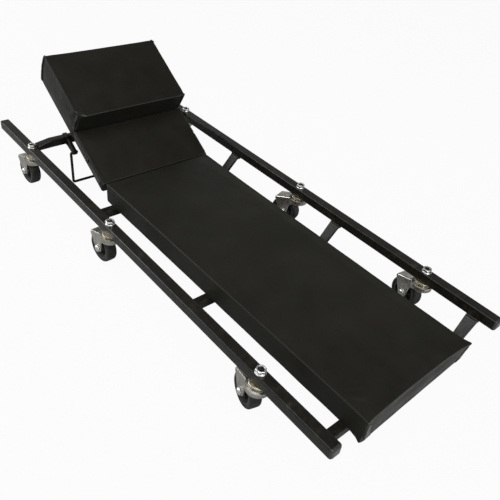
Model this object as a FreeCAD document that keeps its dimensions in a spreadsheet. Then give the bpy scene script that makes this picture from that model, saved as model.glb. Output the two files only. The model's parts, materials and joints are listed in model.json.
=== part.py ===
import FreeCAD, Part
import math
import os
import re
import Sketcher

# A mechanic creeper: a padded board carried low between two tube rails on six swivel casters,
# with a hinged headrest that leans on two rests and a wire bail that hangs from the head crossbar.
# Frame: X runs along the rails with the head end at -X, Y across, Z up from the floor.
# The origin is on the floor under the middle of the rails. Lengths are in millimetres.

# Driving dimensions
SIZES = {
    # Rails
    "rail_length": 1006,
    "rail_tube": 19,
    "rail_wall": 1.5,
    "rail_corner": 2.2,
    "frame_width": 406,
    "plug_dome": 5,
    "plug_round": 4.4,
    "plug_insert": 16,
    # Crossbars
    "bar_tube": 16.5,
    "bar_wall": 1.5,
    "bar_corner": 2.6,
    "bar_top": 40,
    "bar_bend": 150,
    "bar_foot_tall": 9,
    "bar_foot_wide": 22.5,
    "bar_foot_inset": 8,
    "hinge_bar_inset": 346,
    "foot_bar_inset": 36,
    "head_bar_bottom": 87,
    "head_bar_taper": 30,
    "head_bar_end_tall": 10.5,
    "head_bar_end_wide": 20,
    # Casters
    "caster_height": 75,
    "caster_end_inset": 141,
    "caster_middle_x": 44,
    "wheel_radius": 29.5,
    "tyre_wide": 20,
    "tyre_round": 3.5,
    "bead_taper": 1.5,
    "rim_radius": 23.5,
    "rim_wide": 18,
    "rim_inner": 19.5,
    "web_thick": 6,
    "web_draft": 1,
    "hub_radius": 8,
    "hub_wide": 21.6,
    "trail": 25,
    "axle_radius": 4,
    "axle_head_radius": 6.5,
    "axle_head_tall": 3.6,
    "axle_head_rim": 1.6,
    "axle_head_bevel": 2.6,
    "fork_gap": 22.6,
    "fork_sheet": 2.5,
    "crown_radius": 19,
    "crown_reach": 16,
    "skirt_tall": 8.5,
    "leg_back": 25,
    "leg_back_drop": 10.5,
    "leg_end_half": 7.5,
    "leg_end_drop": 6.5,
    "leg_round": 5,
    "leg_front": 13,
    "hood_round": 3,
    "raceway_radius": 15,
    "raceway_taper": 3,
    "raceway_tall": 6,
    "stem_radius": 5,
    "kingpin_radius": 8,
    "kingpin_tall": 3.6,
    "washer_radius": 8.8,
    "washer_thick": 1.6,
    "nut_flats": 14.5,
    "nut_tall": 5.5,
    "nut_chamfer": 0.4,
    "stem_recess": 4,
    # Rest directions of the casters, turned from straight back towards the left rail's far side
    "turn_head_left": -3,
    "turn_middle_left": -3,
    "turn_foot_left": 15,
    "turn_head_right": 0,
    "turn_middle_right": -16,
    "turn_foot_right": 8,
    # Main bed
    "pad_overhang": 27,
    "pad_foot_inset": 1,
    "pad_wide": 248,
    "pad_tall": 41,
    "pad_corner": 5,
    "board_thick": 12,
    "pad_wrap": 3,
    "board_foot_inset": 6,
    "bolt_y": 95,
    "bolt_radius": 3,
    "bolt_head_radius": 6,
    "bolt_head_tall": 3.5,
    "bolt_head_bevel": 1.5,
    "bolt_bite": 9,
    # Headrest, measured from its hinge axis along the board
    "headrest_angle": 31,
    "headrest_gap": 21,
    "back_pad_long": 129,
    "pillow_long": 156,
    "pillow_space": 0.5,
    "back_pad_tall": 31,
    "pillow_tall": 75,
    "head_pad_flare": 6,
    # Hinges between the boards
    "hinge_ahead": 3,
    "hinge_y": 72,
    "hinge_wide": 42,
    "hinge_leaf": 2,
    "hinge_main_reach": 17,
    "hinge_head_reach": 58,
    "barrel_radius": 3.5,
    "pin_radius": 1.8,
    # Bail and its clips
    "clip_sheet": 2.5,
    "clip_wide": 8,
    "clip_bevel": 3.5,
    "clip_shoulder": 4,
    "clip_low_turn": 258,
    "clip_high_turn": 49,
    "clip_y": 118,
    "bail_wire": 5.5,
    "bail_ahead": 34.5,
    "bail_below": 16,
    "bail_drop": 71,
    "bail_bend": 4,
    "eye_wall": 2.6,
    # Rests under the headrest
    "rest_y": 60,
    "rest_wide": 24,
    "rest_long": 22,
    "rest_sheet": 3,
    "bumper_thick": 6,
    # Clearances
    "fit_gap": 0.05,
    "running_gap": 0.3,
}

# Places that follow from the driving dimensions
WORKED_OUT = {
    "rail_y": "(frame_width - rail_tube) / 2",
    "rail_inner_y": "frame_width / 2 - rail_tube",
    "rail_mid_z": "caster_height + rail_tube / 2",
    "rail_top_z": "caster_height + rail_tube",
    "caster_end_x": "rail_length / 2 - caster_end_inset",
    "head_bar_x": "0 - caster_end_x",
    "hinge_bar_x": "hinge_bar_inset - rail_length / 2",
    "foot_bar_x": "rail_length / 2 - foot_bar_inset",
    "middle_bar_x": "(hinge_bar_x + foot_bar_x) / 2",
    "head_bar_mid_z": "head_bar_bottom + bar_tube / 2",
    "head_bar_top_z": "head_bar_bottom + bar_tube",
    "bed_board_long": "pad_long - board_foot_inset",
    "crown_top": "caster_height - raceway_tall - running_gap",
    "crown_under": "crown_top - fork_sheet",
    "skirt_bottom": "crown_top - skirt_tall",
    "fork_wide": "fork_gap + 2 * fork_sheet",
    "hood_slope": "leg_back_drop / (trail + leg_back - crown_reach)",
    "hood_far": "crown_under - hood_slope * (trail + 2 * wheel_radius - crown_reach)",
    "nut_bottom": "rail_top_z + washer_thick",
    "stem_top": "nut_bottom + nut_tall - stem_recess",
    "pad_head_x": "hinge_bar_x - pad_overhang",
    "pad_foot_x": "rail_length / 2 - pad_foot_inset",
    "pad_long": "pad_foot_x - pad_head_x",
    "pad_mid_x": "(pad_foot_x + pad_head_x) / 2",
    "hinge_x": "pad_head_x - hinge_ahead",
    "hinge_z": "bar_top - barrel_radius",
    "head_board_long": "back_pad_long + pillow_space + pillow_long",
    "head_board_mid": "0 - headrest_gap - head_board_long / 2",
    "pillow_mid": "0 - headrest_gap - back_pad_long - pillow_space - pillow_long / 2",
    "back_pad_mid": "0 - headrest_gap - back_pad_long / 2",
    "lean_cos": "cos(headrest_angle * 1 deg)",
    "lean_sin": "sin(headrest_angle * 1 deg)",
    "rest_rise": "barrel_radius - (head_bar_x - hinge_x) * lean_sin - (head_bar_top_z - hinge_z) * lean_cos",
    "rest_tall": "rest_rise - bumper_thick",
    "eye_radius": "bail_wire / 2 + fit_gap + eye_wall",
    "bail_x": "head_bar_x + bail_ahead",
    "bail_z": "head_bar_mid_z - bail_below",
    "bail_leg_y": "clip_y + clip_wide / 2 + bail_bend + running_gap",
}

HEADREST_AXIS = (0, 1, 0)
UPRIGHT = (0, 0, 1)
NEAR = 0.01

doc = FreeCAD.newDocument("MechanicCreeper")
sheet = doc.addObject("Spreadsheet::Sheet", "Sizes")
for row, (name, value) in enumerate(SIZES.items(), start=1):
    sheet.set(f"A{row}", name)
    sheet.set(f"B{row}", str(value))
    sheet.setAlias(f"B{row}", name)
doc.recompute()

nodes = []


# Reading the sheet

def ex(text):
    """Write a formula in plain names as one that points at the sheet's cells."""
    def swap(match):
        word = match.group(0)
        if word in WORKED_OUT:
            return "(" + ex(WORKED_OUT[word]) + ")"
        return "Sizes." + word if word in SIZES else word
    return re.sub(r"[a-z][a-z_]*", swap, text)


def number(text):
    return float(sheet.evalExpression(ex(text)))


def vector(x, y):
    return FreeCAD.Vector(number(x), number(y), 0)


# Small building steps

def bind(thing, **formulas):
    for name, text in formulas.items():
        thing.setExpression(name, ex(text))


def place(thing, x="0", y="0", z="0", turn="0", axis=UPRIGHT):
    rotation = FreeCAD.Rotation(FreeCAD.Vector(*axis), number(turn))
    thing.Placement = FreeCAD.Placement(FreeCAD.Vector(), rotation)
    for letter, text in zip("xyz", (x, y, z)):
        thing.setExpression(f"Placement.Base.{letter}", ex(text))


def place_on_headrest(thing, x="0", y="0", z="0"):
    """Place a piece in the headrest's own leaning frame, whose origin is on the hinge axis."""
    place(thing,
          f"hinge_x + ({x}) * lean_cos + ({z}) * lean_sin",
          y,
          f"hinge_z - ({x}) * lean_sin + ({z}) * lean_cos",
          "headrest_angle", HEADREST_AXIS)


def node(thing, label):
    thing.Label = label
    nodes.append(thing)
    return thing


def group(label, things):
    bundle = doc.addObject("Part::Compound", label)
    bundle.Links = things
    return node(bundle, label)


def new_body(name):
    return doc.addObject("PartDesign::Body", name)


def sketch(body, role, offset="0"):
    drawing = body.newObject("Sketcher::SketchObject", body.Name + "Sketch")
    plane = next(each for each in body.Origin.OriginFeatures if each.Role == role)
    drawing.AttachmentSupport = (plane, [""])
    drawing.MapMode = "FlatFace"
    drawing.setExpression("AttachmentOffset.Base.z", ex(offset))
    return drawing


def pin_point(drawing, item, end, x, y):
    for kind, text in (("DistanceX", x), ("DistanceY", y)):
        index = drawing.addConstraint(Sketcher.Constraint(kind, -1, 1, item, end, number(text)))
        drawing.setExpression(f"Constraints[{index}]", ex(text))


def pin_radius(drawing, item, radius):
    index = drawing.addConstraint(Sketcher.Constraint("Radius", item, number(radius)))
    drawing.setExpression(f"Constraints[{index}]", ex(radius))


def outline(drawing, points):
    """Draw a closed outline of straight lines through points given as formulas."""
    first = drawing.GeometryCount
    count = len(points)
    for index, point in enumerate(points):
        following = points[(index + 1) % count]
        drawing.addGeometry(Part.LineSegment(vector(*point), vector(*following)), False)
    for index in range(count):
        ends = (first + index, 2, first + (index + 1) % count, 1)
        drawing.addConstraint(Sketcher.Constraint("Coincident", *ends))
    for index, point in enumerate(points):
        pin_point(drawing, first + index, 1, *point)


def circle(drawing, x, y, radius):
    item = drawing.GeometryCount
    drawing.addGeometry(Part.Circle(vector(x, y), FreeCAD.Vector(0, 0, 1), number(radius)), False)
    pin_point(drawing, item, 3, x, y)
    pin_radius(drawing, item, radius)


def rounded_rectangle(drawing, wide, tall, radius, x="0", y="0"):
    """Draw four lines joined by quarter circles, about a centre."""
    right, left = f"({x}) + ({wide}) / 2", f"({x}) - ({wide}) / 2"
    top, bottom = f"({y}) + ({tall}) / 2", f"({y}) - ({tall}) / 2"
    inner_right, inner_left = f"{right} - ({radius})", f"{left} + ({radius})"
    inner_top, inner_bottom = f"{top} - ({radius})", f"{bottom} + ({radius})"
    sides = [
        ((inner_left, bottom), (inner_right, bottom), (inner_right, inner_bottom)),
        ((right, inner_bottom), (right, inner_top), (inner_right, inner_top)),
        ((inner_right, top), (inner_left, top), (inner_left, inner_top)),
        ((left, inner_top), (left, inner_bottom), (inner_left, inner_bottom)),
    ]
    for quarter, (start, finish, centre) in enumerate(sides):
        drawing.addGeometry(Part.LineSegment(vector(*start), vector(*finish)), False)
        corner = Part.Circle(vector(*centre), FreeCAD.Vector(0, 0, 1), number(radius))
        angle = (quarter - 1) * math.pi / 2
        drawing.addGeometry(Part.ArcOfCircle(corner, angle, angle + math.pi / 2), False)
    for quarter, (start, finish, centre) in enumerate(sides):
        line, arc, following = 2 * quarter, 2 * quarter + 1, (2 * quarter + 2) % 8
        drawing.addConstraint(Sketcher.Constraint("Coincident", line, 2, arc, 1))
        drawing.addConstraint(Sketcher.Constraint("Coincident", arc, 2, following, 1))
        pin_point(drawing, line, 1, *start)
        pin_point(drawing, line, 2, *finish)
        pin_radius(drawing, arc, radius)


def pad(body, drawing, length, side="Symmetric", reverse=False):
    feature = body.newObject("PartDesign::Pad", body.Name + "Pad")
    feature.Profile = drawing
    feature.SideType = side
    feature.Reversed = reverse
    bind(feature, Length=length)
    return feature


def pocket(body, drawing, length=None, side="Symmetric", reverse=False):
    """Cut a drawing through everything, or to a depth, and make sure that it cut something."""
    doc.recompute()
    before = body.Shape.Volume
    feature = body.newObject("PartDesign::Pocket", body.Name + "Pocket")
    feature.Profile = drawing
    feature.SideType = side
    feature.Reversed = reverse
    if length:
        bind(feature, Length=length)
    else:
        feature.Type = "ThroughAll"
    doc.recompute()
    if body.Shape.Volume >= before:
        raise RuntimeError(f"{body.Name}: a pocket cut nothing")
    return feature


def turned(name, points, role="XZ_Plane"):
    """Turn a half section about the upright axis of its drawing."""
    body = new_body(name)
    drawing = sketch(body, role)
    outline(drawing, points)
    feature = body.newObject("PartDesign::Revolution", name + "Turn")
    feature.Profile = drawing
    feature.ReferenceAxis = (drawing, ["V_Axis"])
    feature.Angle = 360
    return body


def round_edges(body, wanted, radius):
    """Round the edges of the body's last feature that a test picks out."""
    doc.recompute()
    base = body.Tip
    names = [f"Edge{index}" for index, edge in enumerate(base.Shape.Edges, start=1) if wanted(edge)]
    if not names:
        raise RuntimeError(f"{body.Name}: no edge to round")
    feature = body.newObject("PartDesign::Fillet", body.Name + "Round")
    feature.Base = (base, names)
    bind(feature, Radius=radius)
    return feature


def loft(body, drawings, kind="PartDesign::AdditiveLoft"):
    feature = body.newObject(kind, body.Name + "Loft")
    feature.Profile = drawings[0]
    feature.Sections = drawings[1:]
    feature.Ruled = True
    return feature


# Rails

def rail(label, side, turn):
    body = new_body(label)
    section = sketch(body, "YZ_Plane")
    rounded_rectangle(section, "rail_tube", "rail_tube", "rail_corner")
    pad(body, section, "rail_length")
    bore = sketch(body, "YZ_Plane")
    inner = "rail_tube - 2 * rail_wall"
    rounded_rectangle(bore, inner, inner, "rail_corner - rail_wall")
    pocket(body, bore)
    holes = sketch(body, "XY_Plane")
    for x in ("0 - caster_end_x", "0 - caster_middle_x", "caster_end_x"):
        circle(holes, x, "0", "stem_radius + fit_gap")
    pocket(body, holes)
    place(body, "0", f"{side} * rail_y", "rail_mid_z", turn)
    return node(body, label)


def rail_plug(name, end, side):
    body = new_body(name)
    face = sketch(body, "YZ_Plane")
    rounded_rectangle(face, "rail_tube", "rail_tube", "rail_corner")
    pad(body, face, "plug_dome", "One side")
    outer = number("plug_dome")
    round_edges(body, lambda edge: edge.BoundBox.XMin > outer - NEAR, "plug_round")
    insert = sketch(body, "YZ_Plane")
    inner = "rail_tube - 2 * rail_wall - 2 * fit_gap"
    rounded_rectangle(insert, inner, inner, "rail_corner - rail_wall")
    pad(body, insert, "plug_insert", "One side", True)
    place(body, f"{end} * rail_length / 2", f"{side} * rail_y", "rail_mid_z", f"90 - {end} * 90")
    return body


rail("left_rail", "-1", "0")
rail("right_rail", "1", "180")
group("rail_end_plugs", [rail_plug(f"Plug{end}{side}".replace("-", "n"), end, side)
                         for end in (-1, 1) for side in (-1, 1)])


# Crossbars: square tube whose ends are drawn out and flattened where they are welded to the rails

def crossbar(label, x, stations, bolted):
    """Stations are the half width, top height, section height and section width, from the end in."""
    body = new_body(label)
    mirrored = [("0 - (" + out + ")", *rest) for out, *rest in stations] + stations[::-1]
    outer, inner = [], []
    for out, top, tall, wide in mirrored:
        middle = f"({top}) - ({tall}) / 2"
        drawing = sketch(body, "XZ_Plane", f"0 - ({out})")
        rounded_rectangle(drawing, wide, tall, "bar_corner", "0", middle)
        outer.append(drawing)
    loft(body, outer)
    for out, top, tall, wide in mirrored:
        middle = f"({top}) - ({tall}) / 2"
        drawing = sketch(body, "XZ_Plane", f"0 - ({out})")
        walls = "2 * bar_wall"
        rounded_rectangle(drawing, f"{wide} - {walls}", f"{tall} - {walls}", "bar_corner - bar_wall",
                          "0", middle)
        inner.append(drawing)
    loft(body, inner, "PartDesign::SubtractiveLoft")
    if bolted:
        holes = sketch(body, "XY_Plane")
        for y in ("bolt_y", "0 - bolt_y"):
            circle(holes, "0", y, "bolt_radius + fit_gap")
        pocket(body, holes)
    place(body, x)
    return node(body, label)


LOW_STATIONS = [
    ("rail_y", "caster_height", "bar_foot_tall", "bar_foot_wide"),
    ("rail_y - bar_foot_inset", "caster_height", "bar_foot_tall", "bar_foot_wide"),
    ("bar_bend", "bar_top", "bar_tube", "bar_tube"),
]
HEAD_STATIONS = [
    ("rail_inner_y", "head_bar_bottom + head_bar_end_tall", "head_bar_end_tall", "head_bar_end_wide"),
    ("rail_inner_y - head_bar_taper", "head_bar_top_z", "bar_tube", "bar_tube"),
]
crossbar("head_crossbar", "head_bar_x", HEAD_STATIONS, False)
crossbar("hinge_crossbar", "hinge_bar_x", LOW_STATIONS, True)
crossbar("middle_crossbar", "middle_bar_x", LOW_STATIONS, True)
crossbar("foot_crossbar", "foot_bar_x", LOW_STATIONS, True)

# Casters: name, place along the rail, side, rest direction
CASTERS = [
    ("head_left", "0 - caster_end_x", "-1", "turn_head_left"),
    ("middle_left", "0 - caster_middle_x", "-1", "turn_middle_left"),
    ("foot_left", "caster_end_x", "-1", "turn_foot_left"),
    ("head_right", "0 - caster_end_x", "1", "turn_head_right"),
    ("middle_right", "caster_middle_x", "1", "turn_middle_right"),
    ("foot_right", "caster_end_x", "1", "turn_foot_right"),
]


def caster_stem(name):
    return turned(name, [
        ("0", "crown_under - running_gap - kingpin_tall"),
        ("kingpin_radius", "crown_under - running_gap - kingpin_tall"),
        ("kingpin_radius", "crown_under - running_gap"),
        ("stem_radius", "crown_under - running_gap"),
        ("stem_radius", "stem_top"),
        ("0", "stem_top"),
    ])


def raceway(name):
    return turned(name, [
        ("stem_radius + fit_gap", "caster_height - raceway_tall"),
        ("raceway_radius - raceway_taper", "caster_height - raceway_tall"),
        ("raceway_radius", "caster_height - raceway_tall / 2"),
        ("raceway_radius", "caster_height"),
        ("stem_radius + fit_gap", "caster_height"),
    ])


def washer(name):
    return turned(name, [
        ("stem_radius + fit_gap", "rail_top_z"),
        ("washer_radius", "rail_top_z"),
        ("washer_radius", "nut_bottom"),
        ("stem_radius + fit_gap", "nut_bottom"),
    ])


def stem_nut(name):
    body = new_body(name)
    corner = "nut_flats / sqrt(3)"
    hexagon = sketch(body, "XY_Plane", "nut_bottom")
    outline(hexagon, [(f"{corner} * cos({60 * step} deg)", f"{corner} * sin({60 * step} deg)")
                      for step in range(6)])
    circle(hexagon, "0", "0", "stem_radius + fit_gap")
    pad(body, hexagon, "nut_tall", "One side")
    bevel = sketch(body, "XZ_Plane")
    top = "nut_bottom + nut_tall"
    outline(bevel, [
        ("nut_flats", f"{top} + nut_chamfer"),
        ("nut_flats / 2 - nut_chamfer", f"{top} + nut_chamfer"),
        ("nut_flats / 2 - nut_chamfer", top),
        ("nut_flats", f"{top} - (nut_flats / 2 + nut_chamfer) * tan(30 deg)"),
    ])
    groove = body.newObject("PartDesign::Groove", name + "Bevel")
    groove.Profile = bevel
    groove.ReferenceAxis = (bevel, ["V_Axis"])
    groove.Angle = 360
    return body


def beside_rails(label, make):
    pieces = []
    for name, x, side, turn in CASTERS:
        piece = make(label.title().replace("_", "") + name.title().replace("_", ""))
        place(piece, x, f"{side} * rail_y")
        pieces.append(piece)
    return group(label, pieces)


beside_rails("caster_stems", caster_stem)
beside_rails("caster_raceways", raceway)
beside_rails("stem_washers", washer)
beside_rails("stem_nuts", stem_nut)


def fork(name):
    """A stamped fork, trailing along +X: a round crown and skirt, a sloping hood and two tapered legs."""
    body = new_body(name)
    legs = sketch(body, "XZ_Plane")
    outline(legs, [
        ("0 - stem_radius", "crown_top"),
        ("crown_reach", "crown_top"),
        ("trail + leg_back", "crown_top - leg_back_drop"),
        ("trail + leg_end_half", "wheel_radius - leg_end_drop"),
        ("trail - leg_end_half", "wheel_radius - leg_end_drop"),
        ("trail - leg_front", "skirt_bottom - skirt_tall"),
        ("0 - stem_radius", "skirt_bottom"),
    ])
    pad(body, legs, "fork_wide")
    rear_x = number("trail - leg_end_half")
    low_z = number("crown_top - leg_back_drop")
    round_edges(body, lambda edge: (edge.BoundBox.YLength > 1 and edge.BoundBox.XMin > rear_x - NEAR
                                    and edge.BoundBox.ZMax < low_z + NEAR), "leg_round")
    hood_x = number("crown_reach")
    round_edges(body, lambda edge: (edge.BoundBox.YLength < NEAR and edge.BoundBox.XMin > hood_x - NEAR
                                    and edge.BoundBox.ZMin > low_z - NEAR), "hood_round")
    crown = sketch(body, "XY_Plane", "crown_under")
    circle(crown, "0", "0", "crown_radius")
    pad(body, crown, "fork_sheet", "One side")
    skirt = sketch(body, "XY_Plane", "skirt_bottom")
    circle(skirt, "0", "0", "crown_radius")
    circle(skirt, "0", "0", "crown_radius - fork_sheet")
    pad(body, skirt, "skirt_tall", "One side")
    slot = sketch(body, "XZ_Plane")
    outline(slot, [
        ("0 - stem_radius - fit_gap", "0"),
        ("trail + 2 * wheel_radius", "0"),
        ("trail + 2 * wheel_radius", "hood_far"),
        ("crown_reach", "crown_under"),
        ("0 - stem_radius - fit_gap", "crown_under"),
    ])
    pocket(body, slot, "fork_gap")
    stem_hole = sketch(body, "XY_Plane")
    circle(stem_hole, "0", "0", "stem_radius + fit_gap")
    pocket(body, stem_hole)
    axle_hole = sketch(body, "XZ_Plane")
    circle(axle_hole, "trail", "wheel_radius", "axle_radius + fit_gap")
    pocket(body, axle_hole)
    return body


def tyre(name):
    body = turned(name, [
        ("rim_radius", "0 - rim_wide / 2"),
        ("rim_radius + bead_taper", "0 - tyre_wide / 2"),
        ("wheel_radius", "0 - tyre_wide / 2"),
        ("wheel_radius", "tyre_wide / 2"),
        ("rim_radius + bead_taper", "tyre_wide / 2"),
        ("rim_radius", "rim_wide / 2"),
    ], "XY_Plane")
    radius = number("wheel_radius")
    round_edges(body, lambda edge: edge.BoundBox.XMax > radius - NEAR and edge.BoundBox.YLength < NEAR,
                "tyre_round")
    return body


def hub(name):
    half = [
        ("axle_radius + fit_gap", "hub_wide / 2"),
        ("hub_radius", "hub_wide / 2"),
        ("hub_radius + web_draft", "web_thick / 2"),
        ("rim_inner - web_draft", "web_thick / 2"),
        ("rim_inner", "rim_wide / 2"),
        ("rim_radius", "rim_wide / 2"),
    ]
    mirrored = [(radius, "0 - " + out) for radius, out in reversed(half)]
    return turned(name, half + mirrored, "XY_Plane")


def axle(name):
    half = [
        ("axle_radius", "fork_wide / 2"),
        ("axle_head_radius", "fork_wide / 2"),
        ("axle_head_radius", "fork_wide / 2 + axle_head_rim"),
        ("axle_head_radius - axle_head_bevel", "fork_wide / 2 + axle_head_tall"),
        ("0", "fork_wide / 2 + axle_head_tall"),
    ]
    mirrored = [(radius, "0 - (" + out + ")") for radius, out in reversed(half)]
    return turned(name, half + mirrored, "XY_Plane")


for name, x, side, turn in CASTERS:
    heading = f"180 - {turn}"
    axle_x = f"{x} - trail * cos({turn} * 1 deg)"
    axle_y = f"{side} * rail_y + trail * sin({turn} * 1 deg)"
    piece = fork(f"fork_{name}")
    place(piece, x, f"{side} * rail_y", "0", heading)
    node(piece, f"fork_{name}")
    for kind, make in (("axle", axle), ("hub", hub), ("tyre", tyre)):
        piece = make(f"{kind}_{name}")
        place(piece, axle_x, axle_y, "wheel_radius", heading)
        node(piece, f"{kind}_{name}")


# Main bed

def cushion(label, long, wide, corner, levels, bottom, board, flare):
    """A stuffed cap over a board, with a crowned top and sides that flare out over the board."""
    body = new_body(label)
    drawings = []
    for height, inset, rise in levels:
        drawing = sketch(body, "XY_Plane", f"{bottom} + {height}")
        across = f"{wide} + 2 * {rise} * {flare} - 2 * {inset}"
        rounded_rectangle(drawing, f"{long} - 2 * {inset}", across, corner)
        drawings.append(drawing)
    loft(body, drawings)
    seat = sketch(body, "XY_Plane", bottom)
    board_x, board_long = board
    rounded_rectangle(seat, f"{board_long} - 2 * pad_wrap + 2 * running_gap",
                      "pad_wide - 2 * pad_wrap + 2 * running_gap", "pad_corner - pad_wrap", board_x)
    pocket(body, seat, "board_thick", "One side", True)
    return body


def levels_of(tall, steps):
    """Heights as shares of the cushion, each with how far the side stands in and its share of the flare."""
    return [(f"({share} * {tall})", str(inset), str(min(1, FLARE_STEEP * share))) for share, inset in steps]


FLARE_STEEP = 1.5
MAIN_CROWN = [(0, 1.2), (0.2, 0.6), (0.5, 0), (0.74, 0.7), (0.87, 2.6), (0.945, 6), (0.98, 11), (1, 28)]
BACK_CROWN = [(0, 1.2), (0.25, 0.5), (0.6, 0), (0.82, 0.9), (0.92, 2.8), (0.97, 6), (1, 14)]
PILLOW_CROWN = [(0, 1.2), (0.15, 0.5), (0.5, 0), (0.86, 0.6), (0.94, 2.2), (0.98, 5), (1, 14)]


main_board = new_body("main_board")
plan = sketch(main_board, "XY_Plane", "bar_top")
rounded_rectangle(plan, "bed_board_long - 2 * pad_wrap", "pad_wide - 2 * pad_wrap", "pad_corner - pad_wrap",
                  "pad_mid_x - board_foot_inset / 2")
pad(main_board, plan, "board_thick", "One side")
bolt_holes = sketch(main_board, "XY_Plane", "bar_top")
for bar in ("hinge_bar_x", "middle_bar_x", "foot_bar_x"):
    for y in ("bolt_y", "0 - bolt_y"):
        circle(bolt_holes, bar, y, "bolt_radius + fit_gap")
pocket(main_board, bolt_holes, "bolt_bite + fit_gap", "One side", True)
node(main_board, "main_board")

main_pad = cushion("main_pad", "pad_long", "pad_wide", "pad_corner", levels_of("pad_tall", MAIN_CROWN),
                   "bar_top", ("0 - board_foot_inset / 2", "bed_board_long"), "0")
place(main_pad, "pad_mid_x")
node(main_pad, "main_pad")


def bed_bolt(name):
    return turned(name, [
        ("0", "bar_top - bar_tube - bolt_head_tall"),
        ("bolt_head_radius - bolt_head_bevel", "bar_top - bar_tube - bolt_head_tall"),
        ("bolt_head_radius", "bar_top - bar_tube - bolt_head_tall / 2"),
        ("bolt_head_radius", "bar_top - bar_tube"),
        ("bolt_radius", "bar_top - bar_tube"),
        ("bolt_radius", "bar_top + bolt_bite"),
        ("0", "bar_top + bolt_bite"),
    ])


bolts = []
for bar in ("hinge_bar_x", "middle_bar_x", "foot_bar_x"):
    for side in ("1", "-1"):
        bolt = bed_bolt(f"BedBolt{len(bolts)}")
        place(bolt, bar, f"{side} * bolt_y")
        bolts.append(bolt)
group("bed_bolts", bolts)

# Headrest, built flat in its own frame and leaned about the hinge axis
headrest_board = new_body("headrest_board")
plan = sketch(headrest_board, "XY_Plane", "barrel_radius")
rounded_rectangle(plan, "head_board_long - 2 * pad_wrap", "pad_wide - 2 * pad_wrap", "pad_corner - pad_wrap",
                  "head_board_mid")
pad(headrest_board, plan, "board_thick", "One side")
place_on_headrest(headrest_board)
node(headrest_board, "headrest_board")

for label, long, tall, crown, middle in (
        ("back_pad", "back_pad_long", "back_pad_tall", BACK_CROWN, "back_pad_mid"),
        ("pillow", "pillow_long", "pillow_tall", PILLOW_CROWN, "pillow_mid")):
    piece = cushion(label, long, "pad_wide", "pad_corner", levels_of(tall, crown), "barrel_radius",
                    (f"head_board_mid - ({middle})", "head_board_long"), "head_pad_flare")
    place_on_headrest(piece, middle)
    node(piece, label)


# Hinges: two butt hinges under the boards, with the barrel just ahead of the main board

def box(name, x, y, z, long, wide, tall):
    piece = doc.addObject("Part::Box", name)
    bind(piece, Length=long, Width=wide, Height=tall)
    place(piece, x, y, z)
    return piece


def rod(name, radius, long, y="0"):
    """A cylinder along Y, centred on y."""
    piece = doc.addObject("Part::Cylinder", name)
    bind(piece, Radius=radius, Height=long)
    place(piece, "0", f"{y} + ({long}) / 2", "0", "90", (1, 0, 0))
    return piece


def hinge_half(name, side, reach, knuckles):
    """A leaf with its knuckles. Knuckles are pairs of middle and length along the barrel."""
    shoulder = "(barrel_radius + running_gap)"
    leaf_z = "barrel_radius - hinge_leaf"
    leaf_x, web_x = (shoulder, "0") if side > 0 else (f"0 - {reach}", f"0 - {shoulder}")
    parts = [box(name + "Leaf", leaf_x, "0 - hinge_wide / 2", leaf_z,
                 f"{reach} - {shoulder}", "hinge_wide", "hinge_leaf")]
    for index, (middle, long) in enumerate(knuckles):
        parts.append(rod(f"{name}Knuckle{index}", "barrel_radius", long, middle))
        parts.append(box(f"{name}Web{index}", web_x, f"{middle} - ({long}) / 2", leaf_z,
                         shoulder, long, "hinge_leaf"))
    solid = doc.addObject("Part::MultiFuse", name + "Solid")
    solid.Shapes = parts
    bored = doc.addObject("Part::Cut", name)
    bored.Base = solid
    bored.Tool = rod(name + "Bore", "pin_radius + fit_gap", "2 * hinge_wide")
    return bored


MIDDLE_KNUCKLE = [("0", "hinge_wide / 3 - running_gap")]
OUTER_KNUCKLES = [("hinge_wide / 3", "hinge_wide / 3 - running_gap"),
                  ("0 - hinge_wide / 3", "hinge_wide / 3 - running_gap")]
fixed_halves, moving_halves, pins = [], [], []
for side in ("1", "-1"):
    tag = "Left" if side == "-1" else "Right"
    fixed = hinge_half("FixedHinge" + tag, 1, "hinge_main_reach", OUTER_KNUCKLES)
    place(fixed, "hinge_x", f"{side} * hinge_y", "hinge_z")
    moving = hinge_half("MovingHinge" + tag, -1, "hinge_head_reach", MIDDLE_KNUCKLE)
    place_on_headrest(moving, "0", f"{side} * hinge_y")
    pin = rod("HingePin" + tag, "pin_radius", "hinge_wide")
    place(pin, "hinge_x", f"{side} * hinge_y + hinge_wide / 2", "hinge_z", "90", (1, 0, 0))
    fixed_halves.append(fixed)
    moving_halves.append(moving)
    pins.append(pin)
group("hinge_leaves_main", fixed_halves)
group("hinge_leaves_headrest", moving_halves)
group("hinge_pins", pins)


# Bail: a wire loop that swings in two strap clips folded round the head crossbar

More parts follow.
